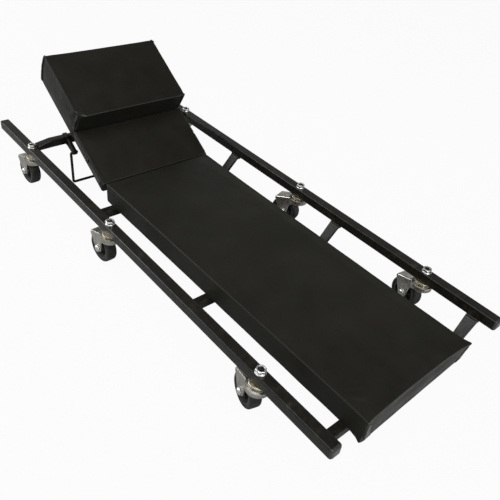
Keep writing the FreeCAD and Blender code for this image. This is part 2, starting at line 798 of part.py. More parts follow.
def bail_clip(name):
    body = new_body(name)
    wrap = "(bar_tube / 2 + clip_sheet)"
    inside = "(bar_tube / 2 + fit_gap)"
    grip = "(eye_radius - fit_gap)"
    low_x, low_z = "cos(clip_low_turn * 1 deg)", "sin(clip_low_turn * 1 deg)"
    high_x, high_z = "cos(clip_high_turn * 1 deg)", "sin(clip_high_turn * 1 deg)"
    tip = "(1 - (eye_radius + clip_sheet) / sqrt(bail_ahead ^ 2 + bail_below ^ 2))"
    profile = sketch(body, "XZ_Plane")
    outline(profile, [
        (f"0 - {wrap}", f"0 - {wrap}"),
        ("bar_tube / 2", f"0 - {wrap}"),
        (f"bail_ahead + {grip} * {low_x}", f"0 - bail_below + {grip} * {low_z}"),
        (f"bail_ahead + {grip} * {high_x}", f"0 - bail_below + {grip} * {high_z}"),
        (wrap, "clip_shoulder"),
        (wrap, f"{wrap} - clip_bevel"),
        (f"{wrap} - clip_bevel", wrap),
        (f"clip_bevel - {wrap}", wrap),
        (f"0 - {wrap}", f"{wrap} - clip_bevel"),
    ])
    pad(body, profile, "clip_wide")
    eye = sketch(body, "XZ_Plane")
    circle(eye, "bail_ahead", "0 - bail_below", "eye_radius")
    pad(body, eye, "clip_wide")
    hollow = sketch(body, "XZ_Plane")
    outline(hollow, [
        (f"0 - {inside}", f"0 - {inside}"),
        (inside, f"0 - {inside}"),
        (f"bail_ahead * {tip}", f"0 - bail_below * {tip}"),
        (inside, "clip_shoulder - clip_sheet / 2"),
        (inside, inside),
        (f"0 - {inside}", inside),
    ])
    pocket(body, hollow)
    bore = sketch(body, "XZ_Plane")
    circle(bore, "bail_ahead", "0 - bail_below", "bail_wire / 2 + fit_gap")
    pocket(body, bore)
    return body


clips = []
for side in ("1", "-1"):
    clip = bail_clip(f"BailClip{len(clips)}")
    place(clip, "head_bar_x", f"{side} * clip_y", "head_bar_mid_z")
    clips.append(clip)
group("bail_clips", clips)


def bail(label):
    """A round wire bent to a wide U, drawn flat across the creeper."""
    body = new_body(label)
    end_y = "(clip_y - clip_wide / 2 - bail_wire / 2)"
    leg, bend, drop = "bail_leg_y", "bail_bend", "bail_drop"
    stops = [
        (f"0 - {end_y}", "0"), (f"{bend} - {leg}", "0"),
        (f"0 - {leg}", f"0 - {bend}"), (f"0 - {leg}", f"{bend} - {drop}"),
        (f"{bend} - {leg}", f"0 - {drop}"), (f"{leg} - {bend}", f"0 - {drop}"),
        (leg, f"{bend} - {drop}"), (leg, f"0 - {bend}"),
        (f"{leg} - {bend}", "0"), (end_y, "0"),
    ]
    corners = [
        (f"{bend} - {leg}", f"0 - {bend}", 0.5), (f"{bend} - {leg}", f"{bend} - {drop}", 1.0),
        (f"{leg} - {bend}", f"{bend} - {drop}", 1.5), (f"{leg} - {bend}", f"0 - {bend}", 0.0),
    ]
    path = sketch(body, "YZ_Plane")
    for start, finish in zip(stops[0::2], stops[1::2]):
        path.addGeometry(Part.LineSegment(vector(*start), vector(*finish)), False)
    for x, y, first in corners:
        arc = Part.Circle(vector(x, y), FreeCAD.Vector(0, 0, 1), number(bend))
        path.addGeometry(Part.ArcOfCircle(arc, first * math.pi, (first + 0.5) * math.pi), False)
    for index in range(len(corners)):
        arc = len(stops) // 2 + index
        path.addConstraint(Sketcher.Constraint("Coincident", index, 2, arc, 1))
        path.addConstraint(Sketcher.Constraint("Coincident", index + 1, 1, arc, 2))
        pin_radius(path, arc, bend)
    for index, (start, finish) in enumerate(zip(stops[0::2], stops[1::2])):
        pin_point(path, index, 1, *start)
        pin_point(path, index, 2, *finish)
    wire = sketch(body, "XZ_Plane", end_y)
    circle(wire, "0", "0", "bail_wire / 2")
    pipe = body.newObject("PartDesign::AdditivePipe", label + "Sweep")
    pipe.Profile = wire
    pipe.Spine = path
    place(body, "bail_x", "0", "bail_z")
    return node(body, label)


bail("prop_bail")


# Rests: two folded channels on the head crossbar, each with a rubber bumper under the headrest board

def rest_channel(name):
    body = new_body(name)
    face = sketch(body, "XZ_Plane")
    top_x, top_z = "rest_tall * lean_sin", "rest_tall * lean_cos"
    along_x, along_z = "rest_long / 2 * lean_cos", "rest_long / 2 * lean_sin"
    seat = "(bar_tube / 2 - bar_corner)"
    outline(face, [
        (f"0 - {seat}", "0"),
        (seat, "0"),
        (f"{top_x} + {along_x}", f"{top_z} - {along_z}"),
        (f"{top_x} - {along_x}", f"{top_z} + {along_z}"),
    ])
    pad(body, face, "rest_wide")
    hollow = sketch(body, "XZ_Plane")
    under = "(rest_tall - rest_sheet)"
    outline(hollow, [
        ("0 - rest_long", "rest_sheet"),
        ("rest_long", "rest_sheet"),
        (f"{under} * lean_sin + rest_long * lean_cos", f"{under} * lean_cos - rest_long * lean_sin"),
        (f"{under} * lean_sin - rest_long * lean_cos", f"{under} * lean_cos + rest_long * lean_sin"),
    ])
    pocket(body, hollow, "rest_wide - 2 * rest_sheet")
    return body


channels, bumpers = [], []
for side in ("1", "-1"):
    channel = rest_channel(f"RestChannel{len(channels)}")
    place(channel, "head_bar_x", f"{side} * rest_y", "head_bar_top_z")
    channels.append(channel)
    bumper = doc.addObject("Part::Box", f"RestBumper{len(bumpers)}")
    bind(bumper, Length="rest_long", Width="rest_wide", Height="bumper_thick")
    place(bumper, "head_bar_x + rest_tall * lean_sin - rest_long / 2 * lean_cos",
          f"{side} * rest_y - rest_wide / 2",
          "head_bar_top_z + rest_tall * lean_cos + rest_long / 2 * lean_sin",
          "headrest_angle", HEADREST_AXIS)
    bumpers.append(bumper)
group("rest_channels", channels)
group("rest_bumpers", bumpers)

# Check every object and write the nodes
doc.recompute()
for thing in doc.Objects:
    if "Invalid" in thing.State or "Error" in thing.State:
        raise RuntimeError(f"{thing.Label}: {thing.State}")
os.makedirs("parts", exist_ok=True)
for thing in nodes:
    if thing.Shape.isNull() or not thing.Shape.isValid() or not thing.Shape.Solids:
        raise RuntimeError(f"{thing.Label}: no valid solid")
    thing.Shape.exportStep(f"parts/{thing.Label}.step")
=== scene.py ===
# %% [markdown]
# Dressing a mechanic creeper
#
# A creeper is a low padded bed on casters that a mechanic lies on to roll under
# a car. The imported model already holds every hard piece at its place, in metres.
# It could be modelled again from nothing, but then it would have to be fitted, so
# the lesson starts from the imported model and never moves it.

# %% Load the frame
import json
import math

import bpy
from mathutils import Matrix, Vector, noise

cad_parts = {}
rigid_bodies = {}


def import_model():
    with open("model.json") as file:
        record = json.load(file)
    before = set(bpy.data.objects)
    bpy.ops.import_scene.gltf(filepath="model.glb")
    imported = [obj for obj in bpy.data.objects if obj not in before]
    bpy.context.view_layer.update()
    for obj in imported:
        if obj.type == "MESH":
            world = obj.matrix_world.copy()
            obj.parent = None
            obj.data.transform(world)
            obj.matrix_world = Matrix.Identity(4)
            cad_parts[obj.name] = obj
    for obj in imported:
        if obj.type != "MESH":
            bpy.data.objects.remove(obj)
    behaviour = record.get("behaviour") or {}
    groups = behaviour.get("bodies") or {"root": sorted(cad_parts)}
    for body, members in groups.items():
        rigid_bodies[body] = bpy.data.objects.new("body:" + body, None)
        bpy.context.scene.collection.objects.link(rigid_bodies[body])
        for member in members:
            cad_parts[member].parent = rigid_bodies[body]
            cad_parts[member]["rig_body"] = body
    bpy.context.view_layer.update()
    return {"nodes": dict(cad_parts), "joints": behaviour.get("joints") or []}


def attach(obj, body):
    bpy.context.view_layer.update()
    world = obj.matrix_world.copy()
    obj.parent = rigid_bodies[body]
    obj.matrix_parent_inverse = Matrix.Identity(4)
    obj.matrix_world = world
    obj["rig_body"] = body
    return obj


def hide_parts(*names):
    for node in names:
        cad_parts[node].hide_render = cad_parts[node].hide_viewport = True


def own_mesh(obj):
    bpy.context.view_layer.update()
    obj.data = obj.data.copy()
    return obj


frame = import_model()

MM = 0.001
joints = {joint["name"]: joint for joint in frame["joints"]}

# %% [markdown]
# Camera
#
# The photograph looks down on the bed from beyond its foot, on the left side, with
# the camera a little rolled. The camera could be aimed by eye with a target, but a
# pan, a tilt and a roll about one point repeat the photograph exactly.

# %% Place the camera
EYE = Vector((0.700705, -0.585600, 0.699330))
PAN = math.radians(134.909)
TILT = math.radians(-37.695)
ROLL = math.radians(7.820)
FOCAL_LENGTH_PIXELS = 571.192
PICTURE_PIXELS = 500
SENSOR_MM = 36.0

quarter_turn = math.pi / 2
aim = (Matrix.Rotation(PAN - quarter_turn, 4, "Z")
       @ Matrix.Rotation(quarter_turn + TILT, 4, "X")
       @ Matrix.Rotation(ROLL, 4, "Z"))
bpy.ops.object.select_all(action="DESELECT")
bpy.ops.object.camera_add()
camera = bpy.context.object
camera.name = "photo_camera"
camera.matrix_world = Matrix.Translation(EYE) @ aim
camera.data.sensor_width = SENSOR_MM
camera.data.lens = SENSOR_MM * FOCAL_LENGTH_PIXELS / PICTURE_PIXELS
bpy.context.scene.camera = camera
bpy.context.scene.view_settings.view_transform = "Standard"
print("camera looks along", [round(part, 3) for part in aim @ Vector((0, 0, -1))])

# %% [markdown]
# Floor and light
#
# The creeper stands on white paper. A lamp strong enough to burn the paper out to
# white would also bleach the black vinyl. So the lamps stay plain, and the paper
# adds a glow of its own for the camera and for reflections. The glow is only a
# share of the paper, so the creeper's shadow stays on it. In reflections the paper
# is dim, except beyond the foot end, where the photograph's foot edge mirrors it.

# %% Lay the floor
FLOOR_SIZE = 60.0
SEEN_GLOW = 0.95
MIRRORED_GLOW = 0.04
FOOT_GLOW = 1.0
FOOT_GLOW_START = 0.50
FOOT_GLOW_FULL = 0.56
PAPER = (0.30, 0.30, 0.294)


def add_node(tree, kind, **settings):
    """A new node, with the named input sockets set."""
    node = tree.nodes.new(kind)
    for socket, value in settings.items():
        node.inputs[socket.replace("_", " ")].default_value = value
    return node


def product(tree, first, second):
    """Two sockets multiplied, or one socket and a number."""
    node = tree.nodes.new("ShaderNodeMath")
    node.operation = "MULTIPLY"
    tree.links.new(first, node.inputs[0])
    if isinstance(second, float):
        node.inputs[1].default_value = second
    else:
        tree.links.new(second, node.inputs[1])
    return node.outputs[0]


bpy.ops.object.select_all(action="DESELECT")
bpy.ops.mesh.primitive_plane_add(size=FLOOR_SIZE)
floor = bpy.context.object
floor.name = "paper_floor"
paper = bpy.data.materials.new("white_paper")
paper.use_nodes = True
tree = paper.node_tree
tree.nodes.remove(tree.nodes["Principled BSDF"])
matt = add_node(tree, "ShaderNodeBsdfDiffuse", Color=(*PAPER, 1))
glow = add_node(tree, "ShaderNodeEmission", Color=(1, 1, 1, 1), Strength=1.0)
rays = tree.nodes.new("ShaderNodeLightPath")
along = tree.nodes.new("ShaderNodeSeparateXYZ")
tree.links.new(tree.nodes.new("ShaderNodeTexCoord").outputs["Object"], along.inputs[0])
mirrored = add_node(tree, "ShaderNodeMapRange", From_Min=FOOT_GLOW_START, From_Max=FOOT_GLOW_FULL,
                    To_Min=MIRRORED_GLOW, To_Max=FOOT_GLOW)
tree.links.new(along.outputs["X"], mirrored.inputs["Value"])
seen_share = product(tree, rays.outputs["Is Camera Ray"], SEEN_GLOW)
mirrored_share = product(tree, rays.outputs["Is Glossy Ray"], mirrored.outputs["Result"])
either = tree.nodes.new("ShaderNodeMath")
either.operation = "MAXIMUM"
tree.links.new(seen_share, either.inputs[0])
tree.links.new(mirrored_share, either.inputs[1])
mixed = tree.nodes.new("ShaderNodeMixShader")
tree.links.new(either.outputs[0], mixed.inputs[0])
tree.links.new(matt.outputs[0], mixed.inputs[1])
tree.links.new(glow.outputs[0], mixed.inputs[2])
tree.links.new(mixed.outputs[0], tree.nodes["Material Output"].inputs["Surface"])
floor.data.materials.append(paper)
print("floor", FLOOR_SIZE, "m square")

# %% [markdown]
# A studio's walls are pale and its ceiling is dimmer. The world repeats that with a
# ramp on the height of each direction. Three large soft lamps give the shapes their
# highlights, one of them low on the head end's left; a single small lamp would
# leave hard shadows that the photograph doesn't have.

# %% Light the studio
WALL_LIGHT = 0.62
CEILING_LIGHT = 0.10
WALL_TOP = 0.05
CEILING_START = 0.80
CENTRE = Vector((0, 0, 0.1))
LAMPS = (
    ("left_softbox", (-1.8, -1.6, 1.2), 1.6, 48),
    ("foot_softbox", (2.2, -0.3, 1.9), 1.4, 50),
    ("high_softbox", (0.2, -0.9, 2.7), 2.0, 46),
)

world = bpy.data.worlds.new("studio")
bpy.context.scene.world = world
world.use_nodes = True
tree = world.node_tree
direction = tree.nodes.new("ShaderNodeTexCoord").outputs["Generated"]
height = tree.nodes.new("ShaderNodeSeparateXYZ")
tree.links.new(direction, height.inputs[0])
ramp = tree.nodes.new("ShaderNodeValToRGB")
tree.links.new(height.outputs["Z"], ramp.inputs["Fac"])
steps = ((WALL_TOP, WALL_LIGHT), (CEILING_START, CEILING_LIGHT))
for stop, (position, light) in zip(ramp.color_ramp.elements, steps):
    stop.position = position
    stop.color = (light, light, light, 1)
tree.links.new(ramp.outputs["Color"], tree.nodes["Background"].inputs["Color"])

for name, place, size, power in LAMPS:
    bpy.ops.object.light_add(type="AREA", location=place)
    lamp = bpy.context.object
    lamp.name = name
    lamp.data.size = size
    lamp.data.energy = power
    lamp.rotation_euler = (CENTRE - Vector(place)).to_track_quat("-Z", "Y").to_euler()
print("lamps", [lamp[0] for lamp in LAMPS])

# %% [markdown]
# Finishes
#
# Every finish starts from the same few nodes: noise for blotches and grain, a ramp
# for two tones, and a bump for relief. They read the piece's own coordinates in
# metres, so a noise scale of 500 makes grains of about two millimetres. Image
# textures could do the same, but they would have to be unwrapped and carried along.

# %% Make the tools for a finish
def start_finish(name):
    """A new material with its tree, its shader and the piece's own coordinates."""
    material = bpy.data.materials.new(name)
    material.use_nodes = True
    tree = material.node_tree
    place = tree.nodes.new("ShaderNodeTexCoord").outputs["Object"]
    return material, tree, tree.nodes["Principled BSDF"], place


def stretched(tree, place, scale, lean=0.0):
    """Coordinates with each axis scaled, for grain that runs one way, leaned with its piece."""
    node = tree.nodes.new("ShaderNodeMapping")
    node.vector_type = "TEXTURE"
    node.inputs["Rotation"].default_value = (0, lean, 0)
    node.inputs["Scale"].default_value = [1 / part for part in scale]
    tree.links.new(place, node.inputs["Vector"])
    return node.outputs["Vector"]


def cloudy(tree, place, scale, detail=3.0):
    """Soft noise from 0 to 1, with blotches of about 1 / scale metres."""
    node = add_node(tree, "ShaderNodeTexNoise", Scale=scale, Detail=detail)
    tree.links.new(place, node.inputs["Vector"])
    return node.outputs["Fac"]


def pebbled(tree, place, scale):
    """Rounded cells with dark valleys, as in embossed vinyl or cast texture."""
    node = add_node(tree, "ShaderNodeTexVoronoi", Scale=scale)
    node.feature = "SMOOTH_F1"
    tree.links.new(place, node.inputs["Vector"])
    return node.outputs["Distance"]


def from_to(tree, value, low, high, start=0.35, stop=0.65):
    """The value between start and stop, stretched to run from low to high."""
    node = add_node(tree, "ShaderNodeMapRange", From_Min=start, From_Max=stop,
                    To_Min=low, To_Max=high)
    tree.links.new(value, node.inputs["Value"])
    return node.outputs["Result"]


def two_tone(tree, value, first, second, start=0.35, stop=0.65):
    """One colour below start, another above stop and a blend between."""
    node = tree.nodes.new("ShaderNodeValToRGB")
    for stop_mark, position, colour in zip(node.color_ramp.elements, (start, stop), (first, second)):
        stop_mark.position = position
        stop_mark.color = (*colour, 1)
    tree.links.new(value, node.inputs["Fac"])
    return node.outputs["Color"]


def over(tree, share, below, colour):
    """A colour laid over another where the share is high."""
    node = tree.nodes.new("ShaderNodeMix")
    node.data_type = "RGBA"
    sockets = {socket.name: socket for socket in node.inputs if socket.enabled}
    tree.links.new(share, sockets["Factor"])
    tree.links.new(below, sockets["A"])
    sockets["B"].default_value = (*colour, 1)
    return next(socket for socket in node.outputs if socket.enabled)


def emboss(tree, shader, height, strength, depth, under=None):
    """Relief on the surface; a second relief can lie on top of the first."""
    node = add_node(tree, "ShaderNodeBump", Strength=strength, Distance=depth)
    tree.links.new(height, node.inputs["Height"])
    if under is not None:
        tree.links.new(under, node.inputs["Normal"])
    tree.links.new(node.outputs["Normal"], shader.inputs["Normal"])
    return node.outputs["Normal"]


finishes = {}
print("finish tools ready")

# %% [markdown]
# Vinyl
#
# The cushions are covered in black vinyl with a fine pebble grain. It is nearly
# black, a little green where it catches light, and it has dull and shiny patches
# from handling. A cell pattern makes the grain and slow noise makes the patches.
# Where it is stretched over an edge or a fold, the grain is flatter and shinier.

# %% Vinyl
VINYLS = {
    "vinyl": ((0.40, 0.54), 0.16, 0.16),
    "stretched_vinyl": ((0.25, 0.37), 0.60, 0.10),
}
VINYL_TONES = ((0.0061, 0.0057, 0.0040), (0.0087, 0.0082, 0.0060))
SHEEN = 0.02
SHEEN_TINT = (0.86, 0.92, 0.80, 1)

for name, (gloss, mirror, grain) in VINYLS.items():
    material, tree, shader, place = start_finish(name + "_black")
    patches = cloudy(tree, place, 9, 4)
    tree.links.new(two_tone(tree, patches, *VINYL_TONES), shader.inputs["Base Color"])
    handled = cloudy(tree, place, 24, 5)
    tree.links.new(from_to(tree, handled, *gloss), shader.inputs["Roughness"])
    shader.inputs["Specular IOR Level"].default_value = mirror
    shader.inputs["Sheen Weight"].default_value = SHEEN
    shader.inputs["Sheen Tint"].default_value = SHEEN_TINT
    pebbles = emboss(tree, shader, pebbled(tree, place, 620), grain, 0.25 * MM)
    emboss(tree, shader, cloudy(tree, place, 160, 4), 0.10, 0.5 * MM, pebbles)
    finishes[name] = material
print("finishes", list(VINYLS))

# %% [markdown]
# Black enamel
#
# The rails, crossbars and wire are sprayed with semi-gloss black. Sprayed paint has
# an orange-peel skin, and a used frame carries a little pale dust. Both are noise:
# one as relief, the other as a thin brownish veil.

# %% Black enamel
ENAMEL_TONES = ((0.0044, 0.0041, 0.0029), (0.0072, 0.0068, 0.0050))
FRAME_DUST = (0.20, 0.18, 0.15)

material, tree, shader, place = start_finish("enamel_black")
tone = two_tone(tree, cloudy(tree, place, 30, 4), *ENAMEL_TONES)
dust = from_to(tree, cloudy(tree, place, 55, 8), 0.0, 0.07, 0.55, 0.78)
tree.links.new(over(tree, dust, tone, FRAME_DUST), shader.inputs["Base Color"])
tree.links.new(from_to(tree, cloudy(tree, place, 140, 5), 0.27, 0.40), shader.inputs["Roughness"])
shader.inputs["Specular IOR Level"].default_value = 0.30
emboss(tree, shader, cloudy(tree, place, 520, 2), 0.10, 0.25 * MM)
finishes["black_frame"] = material
print("finish", material.name)

# %% [markdown]
# Moulded plastic and rubber
#
# The end plugs and wheel centres are moulded, with a faint spark texture. The tyres
# and the two bumpers are rubber: duller, and greyer where they have rolled in dust.
# One loop makes all four, with its own tones for each.

# %% Plastic and rubber
MOULDED = {
    "black_plastic": ((0.013, 0.013, 0.013), (0.022, 0.022, 0.021), (0.34, 0.46), 0.06),
    "wheel_hub": ((0.018, 0.018, 0.018), (0.032, 0.032, 0.032), (0.36, 0.50), 0.08),
    "wheel_tyre": ((0.007, 0.007, 0.007), (0.014, 0.014, 0.013), (0.36, 0.54), 0.12),
    "bumper_rubber": ((0.012, 0.012, 0.012), (0.020, 0.020, 0.019), (0.60, 0.78), 0.12),
}
DUST = (0.17, 0.16, 0.14)

for slot_name, (dark, light, gloss, dusty) in MOULDED.items():
    material, tree, shader, place = start_finish(slot_name + "_moulded")
    tone = two_tone(tree, cloudy(tree, place, 70, 4), dark, light)
    settled = from_to(tree, cloudy(tree, place, 120, 8), 0.0, dusty, 0.48, 0.75)
    tree.links.new(over(tree, settled, tone, DUST), shader.inputs["Base Color"])
    tree.links.new(from_to(tree, cloudy(tree, place, 260, 4), *gloss), shader.inputs["Roughness"])
    shader.inputs["Specular IOR Level"].default_value = 0.42
    emboss(tree, shader, cloudy(tree, place, 1500, 2), 0.12, 0.12 * MM)
    finishes[slot_name] = material
print("moulded finishes", list(MOULDED))

# %% [markdown]
# Zinc plate
#
# The casters and fasteners are zinc plated steel. Bright zinc is smooth and pale,
# the stamped forks are duller, and the raceways have a yellow chromate over the
# zinc. The stems' ends are made near black as painted shade, so that the centre of
# each nut reads as a dark, shaded recess. Each is a metal with two tones, cloudy
# roughness and fine scratches made from noise that is stretched along one axis.

# %% Zinc plate
PLATED = {
    "zinc": ((0.60, 0.60, 0.59), (0.78, 0.78, 0.77), (0.22, 0.38)),
    "zinc_axle": ((0.62, 0.62, 0.61), (0.80, 0.80, 0.79), (0.20, 0.34)),
    "zinc_fork": ((0.40, 0.39, 0.355), (0.55, 0.54, 0.495), (0.25, 0.42)),
    "yellow_zinc": ((0.47, 0.43, 0.31), (0.56, 0.52, 0.42), (0.25, 0.40)),
    # painted shade: near-black stems, so the recess in each nut's centre looks dark
    "stem_black": ((0.012, 0.012, 0.011), (0.030, 0.029, 0.027), (0.45, 0.60)),
}
SCRATCH_STRETCH = (40, 900, 900)

for slot_name, (dull, bright, gloss) in PLATED.items():
    material, tree, shader, place = start_finish(slot_name + "_plate")
    shader.inputs["Metallic"].default_value = 1.0
    tree.links.new(two_tone(tree, cloudy(tree, place, 85, 6), dull, bright), shader.inputs["Base Color"])
    tree.links.new(from_to(tree, cloudy(tree, place, 210, 6), *gloss), shader.inputs["Roughness"])
    scratches = cloudy(tree, stretched(tree, place, SCRATCH_STRETCH), 1.0, 2)
    emboss(tree, shader, scratches, 0.07, 0.1 * MM)
    finishes[slot_name] = material
print("plated finishes", list(PLATED))

# %% [markdown]
# Plywood
#
# The two boards under the cushions are raw plywood, seen only from below. Long
# stretched noise makes the grain of the face veneer, and a second one of another
# scale keeps its lines from looking ruled. The headrest's board leans, so its grain
# is turned with it.

# %% Plywood
HEADREST_LEAN = math.radians(31)
VENEER_TONES = ((0.30, 0.19, 0.10), (0.48, 0.34, 0.20))
KNOT = (0.20, 0.12, 0.06)
GRAIN_STRETCH = (5, 110, 110)
KNOT_STRETCH = (9, 22, 22)

for name, lean in (("plywood", 0.0), ("leaning_plywood", HEADREST_LEAN)):
    material, tree, shader, place = start_finish(name + "_raw")
    grain = cloudy(tree, stretched(tree, place, GRAIN_STRETCH, lean), 1.0, 6)
    streaks = two_tone(tree, grain, *VENEER_TONES, 0.38, 0.62)
    blotches = cloudy(tree, stretched(tree, place, KNOT_STRETCH, lean), 1.0, 3)
    knots = from_to(tree, blotches, 0.0, 0.5, 0.60, 0.72)
    tree.links.new(over(tree, knots, streaks, KNOT), shader.inputs["Base Color"])
    tree.links.new(from_to(tree, grain, 0.62, 0.80), shader.inputs["Roughness"])
    emboss(tree, shader, grain, 0.20, 0.3 * MM)
    finishes[name] = material
print("plywood with its grain along both boards")

# %% [markdown]
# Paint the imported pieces
#
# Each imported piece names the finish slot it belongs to, so one loop can swap every
# plain colour for its real finish. Pieces that get a better shape later are hidden
# then, and lose nothing by being painted now.

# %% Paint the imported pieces
def packed_slot(node):
    """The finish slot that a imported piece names."""
    return node.data.materials[0].name.split(".")[0]


for node in frame["nodes"].values():
    node.material_slots[0].link = "OBJECT"
    node.material_slots[0].material = finishes[packed_slot(node)]
    node.select_set(False)
# The stems get the near-black painted shade for the dark recess in each nut's centre.
for name, finish in (("caster_stems", "stem_black"), ("headrest_board", "leaning_plywood")):
    frame["nodes"][name].material_slots[0].material = finishes[finish]
print("painted", len(frame["nodes"]), "packed pieces")

# %% [markdown]
# Tools for modelling
#
# An operator works on everything that is selected, so a piece is made the only
# selected object before it is touched. Parts of a mesh are picked by where they are
# and which way they face, as a hand would pick them with the mouse.

# %% Selecting and finishing tools
ALONG = 0.9
ACROSS = 0.1


def only(piece):
    """Make one object the only selected one, and the active one, in object mode."""
    if bpy.context.mode != "OBJECT":
        bpy.ops.object.mode_set(mode="OBJECT")
    bpy.ops.object.select_all(action="DESELECT")
    piece.select_set(True)
    bpy.context.view_layer.objects.active = piece
    return piece


def choose(piece, kind, test):
    """Go into edit mode with just the faces or edges selected whose middle and direction pass the test."""
    only(piece)
    bpy.ops.object.mode_set(mode="EDIT")
    bpy.ops.mesh.select_mode(type=kind)
    bpy.ops.mesh.select_all(action="DESELECT")
    bpy.ops.object.mode_set(mode="OBJECT")
    mesh = piece.data
    if kind == "FACE":
        for face in mesh.polygons:
            face.select = test(face.center, face.normal)
    else:
        for edge in mesh.edges:
            first, last = (mesh.vertices[index].co for index in edge.vertices)
            edge.select = test((first + last) / 2, (last - first).normalized())
    bpy.ops.object.mode_set(mode="EDIT")


def done():
    """Leave edit mode."""
    bpy.ops.object.mode_set(mode="OBJECT")


def push(depth):
    """Extrude the selected faces along their normals, outwards for a positive depth."""
    bpy.ops.mesh.extrude_region_shrink_fatten(TRANSFORM_OT_shrink_fatten={"value": depth})


def use(piece, kind, **settings):
    """Add a modifier with its settings, and apply it."""
    only(piece)
    modifier = piece.modifiers.new(kind.title(), kind)
    for name, value in settings.items():
        setattr(modifier, name, value)
    bpy.ops.object.modifier_apply(modifier=modifier.name)


def named(piece, name):
    """Name an object and its mesh."""
    piece.name = name
    piece.data.name = name
    return piece


def hand_over(piece, body, slot_name, *nodes, finish=None):
    """Give a finished piece its finish and its body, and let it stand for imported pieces."""
    piece.data.materials.clear()
    piece.data.materials.append(finishes[finish or slot_name])
    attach(piece, body)
    if nodes:
        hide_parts(*nodes)
    print(piece.name, len(piece.data.polygons), "faces on", body)


def at(x, y, z):
    """A point given in millimetres."""
    return Vector((x, y, z)) * MM


def new_block(low, high):
    """A cube from one corner to the other, with its place and size in its mesh."""
    bpy.ops.object.select_all(action="DESELECT")
    bpy.ops.mesh.primitive_cube_add(size=1, location=(low + high) / 2, scale=high - low)
    bpy.ops.object.transform_apply(location=True, rotation=True, scale=True)
    return bpy.context.object


print("modelling tools ready")

# %% [markdown]
# The headrest's leaning frame
#
# The back pad and the pillow lean on a board that is hinged to the bed. They are much
# easier to build lying flat, so a matrix takes flat points to the leaning headrest,
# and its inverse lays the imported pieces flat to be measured.

# %% Measure the cushions
hinge = Vector(joints["headrest_lift"]["pos_m"])
leaning = Matrix.Translation(hinge) @ Matrix.Rotation(HEADREST_LEAN, 4, "Y")
level = Matrix.Identity(4)


def box_in(node_name, lay):
    """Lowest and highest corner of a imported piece, in a frame of its own."""
    flat = lay.inverted()
    points = [flat @ vertex.co for vertex in frame["nodes"][node_name].data.vertices]
    low = Vector([min(point[axis] for point in points) for axis in range(3)])
    high = Vector([max(point[axis] for point in points) for axis in range(3)])
    return low, high


for name, lay in (("main_pad", level), ("back_pad", leaning), ("pillow", leaning)):
    low, high = box_in(name, lay)
    print(name, "is", [round(side / MM) for side in high - low], "mm")

# %% [markdown]
# Cushions
#
# Each cushion is foam on a board with vinyl pulled tight over it and stapled below. A
# bevelled block would look like hard rubber. So a block that is a little too low is
# divided into an even grid of cloth and drawn in along its sides. Its lower edge is
# pinned where the staples are, its corners are held softly as the foam holds them,
# and air pressure blows it up by a millimetre or two. The rise is capped, because
# foam can't balloon.

# %% Cushion tools
SOFT_EDGE = 2.6 * MM
FLARE_STEEP = 1.5
NEAR = 0.05 * MM
SEWN_REACH = 16 * MM
SEWN_HOLD = 0.9
PRESSURE = 4.0
CLOTH_FRAMES = 20
UNEVEN_SCALE = 22
BOARD_SLACK = 0.3 * MM
scene = bpy.context.scene


def walls_touched(point, low, high, near=NEAR):
    """How many of the block's four sides and its top a point lies on or near."""
    gaps = (point.x - low.x, high.x - point.x, point.y - low.y, high.y - point.y, high.z - point.z)
    return sum(gap < near for gap in gaps)


def cushion_blank(low, high, cell):
    """A block cut into a grid of cells, with soft upper edges and a sharp lower one."""
    piece = new_block(low, high)
    for axis, size in enumerate(high - low):
        choose(piece, "EDGE", lambda middle, along: abs(along[axis]) > ALONG)
        bpy.ops.mesh.subdivide(number_cuts=round(size / cell))
    choose(piece, "EDGE", lambda middle, along: walls_touched(middle, low, high) > 1)
    bpy.ops.mesh.bevel(offset=SOFT_EDGE, segments=3, affect="EDGES")
    choose(piece, "EDGE",
           lambda middle, along: middle.z < low.z + NEAR and walls_touched(middle, low, high))
    bpy.ops.transform.edge_crease(value=1)
    done()
    return piece


def draw_in(piece, low, high, waist, overhang):
    """Draw the sides in between the corners, more so above, and the lower edge in by the overhang."""
    middle = (low + high) / 2
    half = (high - low) / 2
    for vertex in piece.data.vertices:
        offset = vertex.co - middle
        share = [offset[axis] / half[axis] for axis in range(3)]
        rise = (share[2] + 1) / 2
        for axis in range(2):
            between_corners = 1 - share[1 - axis] ** 4
            vertex.co[axis] -= share[axis] * between_corners * rise * waist
        vertex.co.y -= share[1] * max(0, 1 - FLARE_STEEP * rise) * overhang


def sew(piece, low, high, staple_height):
    """Pin the cover below, and hold it softly along the edges of the block."""
    group = piece.vertex_groups.new(name="sewn")
    for vertex in piece.data.vertices:
        to_faces = sorted([*(vertex.co - low), *(high - vertex.co)])
        hold = SEWN_HOLD * max(0, 1 - to_faces[1] / SEWN_REACH)
        if vertex.co.z - low.z < staple_height:
            hold = 1
        group.add([vertex.index], hold, "REPLACE")
    return group


def blow_up(piece, group, cap):
    """Run the cloth under pressure, apply it, and cap how far each point has moved."""
    rest = [vertex.co.copy() for vertex in piece.data.vertices]
    only(piece)
    cloth = piece.modifiers.new("Cover", "CLOTH")
    cloth.settings.quality = 5
    cloth.settings.vertex_group_mass = group.name
    cloth.settings.use_pressure = True
    cloth.settings.uniform_pressure_force = PRESSURE
    cloth.settings.effector_weights.gravity = 0
    cloth.collision_settings.use_collision = False
    for number in range(1, CLOTH_FRAMES + 1):
        scene.frame_set(number)
    bpy.ops.object.modifier_apply(modifier=cloth.name)
    scene.frame_set(1)
    furthest = 0
    for vertex, start in zip(piece.data.vertices, rest):
        move = vertex.co - start
        furthest = max(furthest, move.length)
        if move.length > cap:
            vertex.co = start + move.normalized() * cap
    print(piece.name, "rose", round(furthest / MM, 1), "mm, capped at", round(cap / MM, 1))


